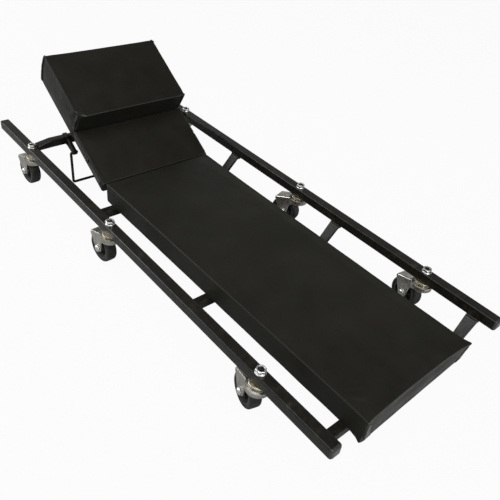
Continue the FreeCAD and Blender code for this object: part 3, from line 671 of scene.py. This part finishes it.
def uneven(piece, depth):
    """Foam under vinyl is never quite flat: raise and lower the cover by slow noise."""
    outward = [vertex.normal.copy() for vertex in piece.data.vertices]
    for vertex, normal in zip(piece.data.vertices, outward):
        vertex.co += normal * depth * noise.noise(vertex.co * UNEVEN_SCALE)


def nudge(piece, point, reach, move):
    """Pull the cover near a point out to a tip."""
    for vertex in piece.data.vertices:
        share = (vertex.co - point).length / reach
        if share < 1:
            vertex.co += move * (1 - share) ** 1.5


def press(piece, start, end, reach, moves):
    """Move the cover along a line, by moves that are spaced evenly from its start to its end."""
    line = end - start
    for vertex in piece.data.vertices:
        along = max(0, min(1, (vertex.co - start).dot(line) / line.length_squared))
        share = (vertex.co - start - line * along).length / reach
        if share < 1:
            step = min(int(along * (len(moves) - 1)), len(moves) - 2)
            move = moves[step].lerp(moves[step + 1], along * (len(moves) - 1) - step)
            vertex.co += move * (1 - share * share) ** 2


def wrinkle(piece, start, end, reach, depth):
    """Press a shallow crease into the cover along a line, deepest at its middle."""
    line = end - start
    outward = [vertex.normal.copy() for vertex in piece.data.vertices]
    for vertex, normal in zip(piece.data.vertices, outward):
        along = max(0, min(1, (vertex.co - start).dot(line) / line.length_squared))
        share = (vertex.co - start - line * along).length / reach
        if share < 1:
            vertex.co -= normal * depth * (1 - share * share) ** 2 * math.sin(math.pi * along)


print("cushion tools ready")

# %% [markdown]
# A cover is finished flat: blown up, divided once and made a little uneven. Then the
# space of its board is cut out from below with a Boolean, so that the board sits in
# the cushion and neither shows through the other, and the cover is laid in its place.

# %% Upholstery tools
STAPLE_HEIGHT = 6 * MM
UNEVEN = 0.35 * MM
EDGE_TILT = 0.25
EDGE_NEAR = 6 * MM
COVER_SMOOTH = math.radians(50)


def upholster(node_name, lay, cell, swell, waist, cap, overhang=0.0):
    """A blown-up cover in its flat frame, with the corners of the cushion's box."""
    low, high = box_in(node_name, lay)
    start_high = high - Vector((0, 0, swell))
    piece = named(cushion_blank(low, start_high, cell), node_name + "_cover")
    draw_in(piece, low, start_high, waist, overhang)
    group = sew(piece, low, start_high, STAPLE_HEIGHT)
    blow_up(piece, group, cap)
    piece.vertex_groups.clear()
    use(piece, "SUBSURF", levels=1, render_levels=1)
    uneven(piece, UNEVEN)
    return piece, low, high


def settle(piece, node_name, lay, board_name, body):
    """Cut the board's space out of a cover, and lay the cover in its place."""
    board_low, board_high = box_in(board_name, lay)
    slack = Vector((BOARD_SLACK, BOARD_SLACK, BOARD_SLACK))
    below = Vector((0, 0, STAPLE_HEIGHT))
    cutter = new_block(board_low - slack - below, board_high + slack)
    use(piece, "BOOLEAN", object=cutter, operation="DIFFERENCE")
    bpy.data.objects.remove(cutter)
    low, high = box_in(node_name, lay)
    edges = [face.index for face in piece.data.polygons
             if min(face.normal.x, face.normal.z) > EDGE_TILT
             and walls_touched(face.center, low, high, EDGE_NEAR) > 1]
    piece.data.transform(lay)
    only(piece)
    bpy.ops.object.shade_smooth_by_angle(angle=COVER_SMOOTH)
    hand_over(piece, body, "vinyl", node_name)
    piece.data.materials.append(finishes["stretched_vinyl"])
    for index in edges:
        piece.data.polygons[index].material_index = 1


print("upholstery tools ready")

# %% [markdown]
# Bed cushion
#
# The bed is one long flat cushion. At its foot the vinyl is folded round the corners
# like a bed sheet: its right top corner stands out as a point, its left fold sticks
# out below as an ear, and the lower edge is drawn under, more to the right. A few
# pulled points make each of these, and shallow creases run across from the left.

# %% Bed cushion
DRAWN_UNDER = 5.5 * MM
DRAWN_REACH = 16 * MM
FOOT_ROUND = at(-3.2, 0, -3.0)
FOOT_ROUND_REACH = 20 * MM
CREASES = (
    ((-54, 8), (-30, 49), 8, 1.5),
    ((-40, 5), (-20, 30), 7, 1.4),
    ((-74, 8), (-58, 50), 9, 1.0),
)
CREASE_BELOW = at(0, 0, -2)

bed_cover, bed_low, bed_high = upholster("main_pad", level, cell=5.5 * MM, swell=1.2 * MM,
                                         waist=1.4 * MM, cap=2.2 * MM)
bed_size = bed_high - bed_low
for vertex in bed_cover.data.vertices:
    from_foot = (bed_high.x - vertex.co.x) / DRAWN_REACH
    if from_foot < 1:
        to_right = (vertex.co.y - bed_low.y) / bed_size.y
        down = (bed_high.z - vertex.co.z) / bed_size.z
        vertex.co.x -= DRAWN_UNDER * (1 - max(0, from_foot)) * to_right * max(0, min(1, down))
left_corner = Vector((bed_high.x, bed_low.y, bed_high.z))
press(bed_cover, left_corner, bed_high, FOOT_ROUND_REACH,
      (at(0, 0, 0), FOOT_ROUND * 0.6, FOOT_ROUND, FOOT_ROUND, at(0, 0, 0)))
ear = Vector((bed_high.x, bed_low.y, bed_low.z)) + at(-3, 0, 1)
pulls = (
    (bed_high, 20, (2.4, 4.6, 0.8)),
    (left_corner, 16, (1.4, -1.2, 0.6)),
    (ear, 24, (1.0, -4.2, 0)),
    (ear + at(1, -4, 0), 8, (0.8, -2.6, 0)),
)
for point, reach, move in pulls:
    nudge(bed_cover, point, reach * MM, at(*move))
corner = left_corner + CREASE_BELOW
for start, end, reach, depth in CREASES:
    wrinkle(bed_cover, corner + at(*start, 0), corner + at(*end, 0), reach * MM, depth * MM)
print("bed cover", [round(side / MM) for side in bed_size], "mm")

# %% [markdown]
# Folded corners
#
# Where the vinyl is folded over at a corner it lies double, and the free edge of the
# fold catches the light as a thin line. A crease in the cover would be too soft, so
# each fold is its own flap: a patch between four points, pressed onto the cover with
# a Shrinkwrap, and given its thickness with a Solidify.

# %% Fold tools
FOLD_THICK = 2.2 * MM
FOLD_LIFT = 0.1 * MM
FOLD_EDGE = 0.5 * MM
FOLD_SMOOTH = math.radians(40)


def fold(cover, top_in, top_out, bottom_in, bottom_out, bow=0.0, thick=FOLD_THICK):
    """A flap laid on a cover between four points, its sides bowed outwards by a share of its width."""
    bpy.ops.object.select_all(action="DESELECT")
    bpy.ops.mesh.primitive_grid_add(x_subdivisions=5, y_subdivisions=18, size=1)
    piece = bpy.context.object
    for vertex in piece.data.vertices:
        across, down = vertex.co.x + 0.5, vertex.co.y + 0.5
        across += bow * across * math.sin(math.pi * down)
        vertex.co = top_in.lerp(top_out, across).lerp(bottom_in.lerp(bottom_out, across), down)
    use(piece, "SHRINKWRAP", target=cover, wrap_method="NEAREST_SURFACEPOINT", offset=FOLD_LIFT)
    use(piece, "SOLIDIFY", thickness=thick, offset=0)
    use(piece, "BEVEL", width=FOLD_EDGE, segments=2, limit_method="ANGLE")
    choose(piece, "FACE", lambda middle, normal: True)
    bpy.ops.mesh.normals_make_consistent(inside=False)
    done()
    bpy.ops.object.shade_smooth_by_angle(angle=FOLD_SMOOTH)
    return piece


def joined(pieces, name):
    """Several objects as one, which takes the name."""
    only(pieces[0])
    for piece in pieces:
        piece.select_set(True)
    bpy.ops.object.join()
    return named(bpy.context.object, name)


print("fold tools ready")

# %% [markdown]
# At the foot of the bed one fold runs down each corner and widens towards its lower
# end. The head end has none, because the headrest closes against it.

# %% Folds of the bed's corners
FOLD_BELOW = 7 * MM
FOLD_ABOVE = 1.5 * MM
TOP_STEPS = (3, 7)
LOW_STEPS = (1, 17)

folds = []
for side in (-1, 1):
    top_corner = Vector((bed_high.x, side * bed_high.y, bed_high.z - FOLD_BELOW))
    low_corner = Vector((bed_high.x, side * bed_high.y, bed_low.z + FOLD_ABOVE))
    corners = [corner + at(0, -side * step, 0)
               for corner, steps in ((top_corner, TOP_STEPS), (low_corner, LOW_STEPS)) for step in steps]
    folds.append(fold(bed_cover, *corners, bow=-0.25))
bed_folds = joined(folds, "bed_corner_folds")
hand_over(bed_folds, "frame", "vinyl", finish="stretched_vinyl")
settle(bed_cover, "main_pad", level, "main_board", "frame")

# %% [markdown]
# Back pad and pillow
#
# The headrest has a thin pad below and a thick block above it, both wrapped in the
# same vinyl. They are blown up flat and then leaned back with the headrest's matrix.

# The back pad's sides have two flaps each.

# %% Back pad
HEAD_OVERHANG = 6 * MM
FLAP_THICK = 3.4 * MM
FLAP_TOP = 3.5 * MM
FLAP_BOTTOM = 16 * MM
FLAP_SPANS = ((0.04, 0.52), (0.55, 0.93))

back_cover, back_low, back_high = upholster("back_pad", leaning, cell=3.5 * MM, swell=0.9 * MM,
                                            waist=0.9 * MM, cap=1.8 * MM, overhang=HEAD_OVERHANG)
flap_top = back_high.z - FLAP_TOP
flap_bottom = back_high.z - FLAP_BOTTOM
flaps = []
for side in (-1, 1):
    edge = side * back_high.y
    for start, finish in FLAP_SPANS:
        from_x = back_low.x + (back_high.x - back_low.x) * start
        to_x = back_low.x + (back_high.x - back_low.x) * finish
        flaps.append(fold(back_cover,
                          Vector((from_x, edge, flap_top)), Vector((from_x, edge, flap_bottom)),
                          Vector((to_x, edge, flap_top)), Vector((to_x, edge, flap_bottom)),
                          thick=FLAP_THICK))
back_folds = joined(flaps, "back_pad_side_folds")
back_folds.data.transform(leaning)
hand_over(back_folds, "headrest", "vinyl", finish="stretched_vinyl")
settle(back_cover, "back_pad", leaning, "headrest_board", "headrest")
for piece in (back_cover, back_folds):
    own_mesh(piece)

# %% [markdown]
# The pillow's corners are pressed in, by more or less at each, and the vinyl is
# pleated there: a flap on either side of a crease. Shallow dents cross its sides.

# %% Pillow
CORNER_REACH = 22 * MM
FRONT_CUTS = (6.5, 1.5)
BACK_CUTS = (0.8, 0.8)
CREASE_REACH = 4 * MM
CREASE_DEPTH = 3 * MM
CREASE_PAST = 14 * MM
PLEAT_THICK = 3.6 * MM
DENTS = (
    ((-9, 0, -10), (-24, 0, -34), 9, 1.6),
    ((-16, 0, -8), (-44, 0, -22), 10, 1.2),
    ((-70, 0, -14), (-96, 0, -40), 16, 1.2),
)

pillow_cover, pillow_low, pillow_high = upholster("pillow", leaning, cell=3.8 * MM, swell=1.4 * MM,
                                                  waist=1.4 * MM, cap=2.4 * MM, overhang=HEAD_OVERHANG)
for start, end, reach, depth in DENTS:
    for side in (-1, 1):
        corner = Vector((pillow_high.x, side * pillow_high.y, pillow_high.z))
        wrinkle(pillow_cover, corner + at(*start), corner + at(*end), reach * MM, depth * MM)
pleats = []
for end, inward, cuts in ((pillow_high.x, -1, FRONT_CUTS), (pillow_low.x, 1, BACK_CUTS)):
    for side, cut in zip((-1, 1), cuts):
        corner = Vector((end, side * pillow_high.y, 0))
        top = pillow_high.z - 3 * MM
        bottom = (back_high.z if inward < 0 else pillow_low.z) + 2 * MM
        foot, crown = (corner + Vector((0, 0, height)) for height in (bottom, pillow_high.z))
        press(pillow_cover, foot, crown, CORNER_REACH,
              (at(inward, -side, 0) * 0.5, at(inward * cut, -side * cut, -cut / 8)))
        crease = corner + at(inward * cut / 2, -side * cut / 2, 0)
        wrinkle(pillow_cover, crease + Vector((0, 0, bottom)), crease + Vector((0, 0, top + CREASE_PAST)),
                CREASE_REACH, CREASE_DEPTH)
        steps_in = (1 + cut / 5, 5 + cut, 1.6, 7)
        on_side = [at(inward * step, 0, 0) for step in steps_in]
        on_end = [at(0, -side * step, 0) for step in steps_in]
        for steps in (on_side, on_end):
            levels = (top, top, bottom, bottom)
            points = [corner + step + Vector((0, 0, height)) for step, height in zip(steps, levels)]
            pleats.append(fold(pillow_cover, *points, bow=-0.2, thick=PLEAT_THICK))
pillow_pleats = joined(pleats, "pillow_corner_pleats")
pillow_pleats.data.transform(leaning)
hand_over(pillow_pleats, "headrest", "vinyl", finish="stretched_vinyl")
settle(pillow_cover, "pillow", leaning, "headrest_board", "headrest")

# %% [markdown]
# Steel edges
#
# Stamped and turned steel has a small round on every edge, and that round is what
# catches the light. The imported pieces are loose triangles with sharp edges, so each
# gets a copy: its points are merged, its flat faces are joined and its edges are
# bevelled. Modelling them again would risk moving them.

# %% Soften the steel pieces
SHARP = math.radians(35)
FLAT = math.radians(0.5)
MERGE = 0.005 * MM
STEEL_EDGES = {
    "fork_": 0.5, "axle_": 0.5, "stem_nuts": 0.6, "stem_washers": 0.35, "caster_raceways": 0.4,
    "bail_clips": 0.5, "hinge_leaves_main": 0.35, "hinge_leaves_headrest": 0.35, "rest_channels": 0.6,
    "rest_bumpers": 1.2, "bed_bolts": 0.5,
}


def softened(node, edge):
    """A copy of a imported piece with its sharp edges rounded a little."""
    piece = bpy.data.objects.new(node.name + "_soft", node.data.copy())
    bpy.context.collection.objects.link(piece)
    choose(piece, "FACE", lambda middle, normal: True)
    bpy.ops.mesh.remove_doubles(threshold=MERGE)
    bpy.ops.mesh.dissolve_limited(angle_limit=FLAT)
    done()
    use(piece, "BEVEL", width=edge, segments=2, limit_method="ANGLE", angle_limit=SHARP)
    bpy.ops.object.shade_smooth_by_angle(angle=SHARP)
    return named(piece, node.name + "_soft")


for start, edge in STEEL_EDGES.items():
    for name, node in frame["nodes"].items():
        if name.startswith(start):
            hand_over(softened(node, edge * MM), node["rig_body"], packed_slot(node), name)

# %% [markdown]
# Wheels
#
# A caster wheel is a moulded centre with a rubber tyre on it. The tyre starts as a
# cylinder: both ends are inset and opened, the two rings are bridged to make the
# bore, and the shoulders are bevelled. A narrow band round its middle is raised as
# the line where the two halves of the mould met.

# %% Tyre
WHEEL_SIDES = 72
MOULD_LINE = 0.5 * MM
TYRE_RADIUS = 29.5 * MM - MOULD_LINE / 2
TYRE_WIDE = 20 * MM
TYRE_ROUND = 3.5 * MM
TYRE_BEAD = 0.6 * MM
RIM_RADIUS = 23.5 * MM
RIM_WIDE = 18 * MM


def new_roller(radius, wide):
    """A cylinder that lies across the creeper, centred on the origin."""
    bpy.ops.object.select_all(action="DESELECT")
    bpy.ops.mesh.primitive_cylinder_add(vertices=WHEEL_SIDES, radius=radius, depth=wide,
                                        rotation=(math.pi / 2, 0, 0))
    bpy.ops.object.transform_apply(location=True, rotation=True, scale=True)
    return bpy.context.object


def from_axle(point):
    """How far a point is from the axle of a wheel at the origin."""
    return math.hypot(point.x, point.z)


def open_bore(piece, radius):
    """Turn the selected end faces into a hole through the wheel."""
    bpy.ops.mesh.delete(type="FACE")
    choose(piece, "EDGE", lambda middle, along: from_axle(middle) < radius + NEAR and abs(along.y) < ACROSS)
    bpy.ops.mesh.bridge_edge_loops()


tyre = named(new_roller(TYRE_RADIUS, TYRE_WIDE), "tyre_pattern")
choose(tyre, "FACE", lambda middle, normal: abs(normal.y) > ALONG)
bpy.ops.mesh.inset(thickness=TYRE_RADIUS - RIM_RADIUS)
open_bore(tyre, RIM_RADIUS)
choose(tyre, "EDGE",
       lambda middle, along: from_axle(middle) > TYRE_RADIUS - MM and abs(along.y) < ACROSS)
bpy.ops.mesh.bevel(offset=TYRE_ROUND, segments=4, affect="EDGES")
choose(tyre, "EDGE",
       lambda middle, along: from_axle(middle) < RIM_RADIUS + NEAR and abs(along.y) < ACROSS)
bpy.ops.mesh.bevel(offset=TYRE_BEAD, segments=2, affect="EDGES")
choose(tyre, "FACE",
       lambda middle, normal: from_axle(middle) > TYRE_RADIUS - MM and abs(normal.y) < ACROSS)
bpy.ops.mesh.inset(thickness=TYRE_WIDE / 2 - TYRE_ROUND - MOULD_LINE)
bpy.ops.transform.shrink_fatten(value=MOULD_LINE / 2)
done()
bpy.ops.object.shade_smooth_by_angle(angle=SHARP)
print("tyre", len(tyre.data.polygons), "faces")

# %% [markdown]
# The wheel centre is a rim, a thin web and a boss for the axle. From a cylinder,
# each end is inset and pushed in to the web, inset again and pulled out as the boss,
# and six pockets are pressed into the web on each side, which leaves the spokes.

# %% Wheel centre
RIM_INNER = 19.5 * MM
WEB_THICK = 6 * MM
BOSS_RADIUS = 8 * MM
BOSS_WIDE = 21.6 * MM
BORE_RADIUS = 4.1 * MM
POCKETS = 6
POCKET_SHARE = 0.64
POCKET_WALL = 1.4 * MM
POCKET_DEPTH = 2.0 * MM
HUB_EDGE = 0.5 * MM

hub = named(new_roller(RIM_RADIUS, RIM_WIDE), "hub_pattern")
choose(hub, "FACE", lambda middle, normal: abs(normal.y) > ALONG)
bpy.ops.mesh.inset(thickness=RIM_RADIUS - RIM_INNER)
push((WEB_THICK - RIM_WIDE) / 2)
bpy.ops.mesh.inset(thickness=RIM_INNER - BOSS_RADIUS)
push((BOSS_WIDE - WEB_THICK) / 2)
bpy.ops.mesh.inset(thickness=BOSS_RADIUS - BORE_RADIUS)
open_bore(hub, BORE_RADIUS)


def in_pocket(middle, normal):
    """Web faces that lie between two spokes."""
    turn = math.atan2(middle.z, middle.x) / math.tau * POCKETS % 1
    on_web = BOSS_RADIUS < from_axle(middle) < RIM_INNER and abs(abs(middle.y) - WEB_THICK / 2) < NEAR
    return on_web and abs(normal.y) > ALONG and abs(turn - 0.5) < POCKET_SHARE / 2


choose(hub, "FACE", in_pocket)
bpy.ops.mesh.inset(thickness=POCKET_WALL)
push(-POCKET_DEPTH)
done()
use(hub, "BEVEL", width=HUB_EDGE, segments=2, limit_method="ANGLE", angle_limit=SHARP)
bpy.ops.object.shade_smooth_by_angle(angle=SHARP)
print("wheel centre", len(hub.data.polygons), "faces")

# %% [markdown]
# One tyre and one centre were modelled lying across the creeper. Each of the six
# casters is turned its own way, so a copy is turned to the axis of its rolling joint
# and moved to its axle.

# %% Six wheels
CASTERS = [name.removeprefix("roll_") for name in joints if name.startswith("roll_")]
UP = Vector((0, 0, 1))


def copied(piece, name, place):
    """A copy with a mesh of its own, laid in its place."""
    twin = bpy.data.objects.new(name, piece.data.copy())
    bpy.context.collection.objects.link(twin)
    twin.data.transform(place)
    return named(twin, name)


for caster in CASTERS:
    joint = joints["roll_" + caster]
    across = Vector(joint["axis"]).normalized()
    ahead = across.cross(UP)
    place = Matrix((ahead, across, UP)).transposed().to_4x4()
    place.translation = Vector(joint["pos_m"])
    for pattern, kind in ((tyre, "tyre"), (hub, "hub")):
        node_name = f"{kind}_{caster}"
        hand_over(copied(pattern, f"{kind}_moulded_{caster}", place), "wheel_" + caster,
                  packed_slot(frame["nodes"][node_name]), node_name)
for pattern in (tyre, hub):
    bpy.data.objects.remove(pattern)

# %% [markdown]
# Underneath
#
# Under the boards the vinyl is turned in and stapled. The turned-in hems are cut away
# where the crossbars carry the board. Each hem is a thin strip with a wavy free edge,
# and a staple, modelled once, is copied along all of them.

# %% Hems and staples
HEM_THICK = 0.9 * MM
HEM_WAVE = 1.3 * MM
HEM_CUT = 12 * MM
STAPLE_STEP = 38 * MM
HEM_CELL = 6 * MM
HEM_WAVES = 60
BOARD_EDGE = 122 * MM
HEM_IN = 98 * MM
END_HEM_HALF = HEM_IN - 3 * MM
HEAD_HEM_LONG = 22 * MM
STAPLE_CORNERS = (at(-5, -0.6, -0.8), at(5, 0.6, 0.3))
STAPLE_ROUND = 0.35 * MM


def hem(low, high, free_edge):
    """A strip from one corner to the other; free_edge gives the axis and side of its wavy edge."""
    piece = new_block(low, high)
    axis, side = free_edge
    run = 1 - axis
    choose(piece, "EDGE", lambda middle, along: abs(along[run]) > ALONG)
    bpy.ops.mesh.subdivide(number_cuts=max(2, round((high - low)[run] / HEM_CELL)))
    done()
    edge = low[axis] if side < 0 else high[axis]
    for vertex in piece.data.vertices:
        if abs(vertex.co[axis] - edge) < NEAR:
            vertex.co[axis] += HEM_WAVE * noise.noise(vertex.co * HEM_WAVES)
    use(piece, "BEVEL", width=HEM_THICK / 3, segments=2, limit_method="ANGLE", angle_limit=SHARP)
    return piece


staple = named(new_block(*STAPLE_CORNERS), "staple_pattern")
use(staple, "BEVEL", width=STAPLE_ROUND, segments=2)


def hemmed(strips, lay, body, name):
    """Hems with staples along their middles, laid under a board."""
    hems, staples = [], []
    for low, high, free_edge in strips:
        hems.append(hem(low, high, free_edge))
        run = 1 - free_edge[0]
        long = (high - low)[run]
        count = max(1, round(long / STAPLE_STEP))
        turn = Matrix.Rotation(run * math.pi / 2, 4, "Z")
        for index in range(count):
            spot = (low + high) / 2
            spot.z = low.z
            spot[run] = low[run] + long * (index + 0.5) / count
            staples.append(copied(staple, "staple", Matrix.Translation(spot) @ turn))
    for pieces, kind, slot_name in ((hems, "hems", "vinyl"), (staples, "staples", "zinc")):
        whole = joined(pieces, f"{name}_{kind}")
        whole.data.transform(lay)
        only(whole)
        bpy.ops.object.shade_smooth_by_angle(angle=SHARP)
        hand_over(whole, body, slot_name)


board_low, board_high = box_in("main_board", level)
bars = [sum(corner.x for corner in box_in(bar + "_crossbar", level)) / 2
        for bar in ("hinge", "middle", "foot")]
cuts = [board_low.x] + [edge for bar in bars for edge in (bar - HEM_CUT, bar + HEM_CUT)] + [board_high.x]
under = board_low.z - HEM_THICK
strips = []
for start, stop in zip(cuts[0::2], cuts[1::2]):
    for side in (-1, 1):
        near, far = sorted((side * HEM_IN, side * BOARD_EDGE))
        strips.append((Vector((start, near, under)), Vector((stop, far, board_low.z)), (1, -side)))
strips.append((Vector((bars[2] + HEM_CUT, -END_HEM_HALF, under)),
               Vector((board_high.x, END_HEM_HALF, board_low.z)), (0, -1)))
hemmed(strips, level, "frame", "bed")

board_low, board_high = box_in("headrest_board", leaning)
under = board_low.z - HEM_THICK
strips = []
for side in (-1, 1):
    near, far = sorted((side * HEM_IN, side * BOARD_EDGE))
    strips.append((Vector((board_low.x, near, under)),
                   Vector((board_high.x, far, board_low.z)), (1, -side)))
strips.append((Vector((board_low.x, -END_HEM_HALF, under)),
               Vector((board_low.x + HEAD_HEM_LONG, END_HEM_HALF, board_low.z)), (0, 1)))
hemmed(strips, leaning, "headrest", "headrest")
bpy.data.objects.remove(staple)

# %% [markdown]
# The hinge leaves are held by small domed screws. One screw is a cylinder with its
# lower edge rounded and a socket pressed into it; it is copied to every place.

# %% Hinge screws
SCREW_RADIUS = 3.2 * MM
SCREW_TALL = 1.5 * MM
SCREW_SIDES = 24
SCREW_ROUND = SCREW_TALL * 0.6
SOCKET_WALL = 0.6 * MM
SOCKET_DEPTH = 0.7 * MM
LEAF_THICK = 2 * MM
SCREWS_ACROSS = (-84, -60, 60, 84)
SCREW_ROWS = (("main", level, "frame", (0.55,)), ("headrest", leaning, "headrest", (0.25, 0.7)))

bpy.ops.object.select_all(action="DESELECT")
bpy.ops.mesh.primitive_cylinder_add(vertices=SCREW_SIDES, radius=SCREW_RADIUS, depth=SCREW_TALL,
                                    location=(0, 0, -SCREW_TALL / 2))
bpy.ops.object.transform_apply(location=True, rotation=True, scale=True)
screw = named(bpy.context.object, "screw_pattern")
choose(screw, "EDGE", lambda middle, along: middle.z < -SCREW_TALL + NEAR)
bpy.ops.mesh.bevel(offset=SCREW_ROUND, segments=3, affect="EDGES")
choose(screw, "FACE", lambda middle, normal: normal.z < -ALONG)
bpy.ops.mesh.inset(thickness=SOCKET_WALL)
push(-SOCKET_DEPTH)
done()
bpy.ops.object.shade_smooth_by_angle(angle=SHARP)

for half, lay, body, rows in SCREW_ROWS:
    leaf_low, leaf_high = box_in("hinge_leaves_" + half, lay)
    leaf_under = leaf_high.z - LEAF_THICK
    screws = []
    for row in rows:
        for y in SCREWS_ACROSS:
            spot = Vector((leaf_low.x + (leaf_high.x - leaf_low.x) * row, y * MM, leaf_under))
            screws.append(copied(screw, "screw", Matrix.Translation(spot)))
    screws = joined(screws, f"hinge_screws_{half}")
    screws.data.transform(lay)
    hand_over(screws, body, "zinc")
bpy.data.objects.remove(screw)

# %% [markdown]
# The crossbars are welded to the rails. A weld is a row of overlapping drops, so the
# bead is a thin cylinder cut into rings, with every other ring drawn in and the ends
# tapered. It is painted with the frame.

# %% Weld beads
BEAD_RADIUS = 2.1 * MM
BEAD_RINGS = 19
BEAD_NOTCH = 0.82
BEAD_TAPER = 0.45
BEAD_SIDES = 12
BEAD_LONG = 20 * MM
BEAD_HEIGHT = 74.6 * MM
HEAD_BEAD_LONG = 18 * MM
RAIL_INNER = 184 * MM


def weld(middle, long):
    """A rippled bead along the creeper."""
    bpy.ops.object.select_all(action="DESELECT")
    bpy.ops.mesh.primitive_cylinder_add(vertices=BEAD_SIDES, radius=BEAD_RADIUS, depth=long,
                                        rotation=(0, math.pi / 2, 0))
    bpy.ops.object.transform_apply(location=True, rotation=True, scale=True)
    piece = bpy.context.object
    choose(piece, "EDGE", lambda spot, along: abs(along.x) > ALONG)
    bpy.ops.mesh.subdivide(number_cuts=BEAD_RINGS)
    done()
    for vertex in piece.data.vertices:
        ring = round((vertex.co.x / long + 0.5) * (BEAD_RINGS + 1))
        scale = BEAD_NOTCH if ring % 2 else 1
        if ring in (0, BEAD_RINGS + 1):
            scale = BEAD_TAPER
        vertex.co.y *= scale
        vertex.co.z *= scale
    piece.data.transform(Matrix.Translation(middle))
    only(piece)
    bpy.ops.object.shade_smooth()
    return piece


beads = []
head_low, head_high = box_in("head_crossbar", level)
head_middle = (head_low.x + head_high.x) / 2
for side in (-1, 1):
    for bar in bars:
        beads.append(weld(Vector((bar, side * RAIL_INNER, BEAD_HEIGHT)), BEAD_LONG))
    beads.append(weld(Vector((head_middle, side * RAIL_INNER, head_low.z)), HEAD_BEAD_LONG))
hand_over(joined(beads, "weld_beads"), "frame", "black_frame")
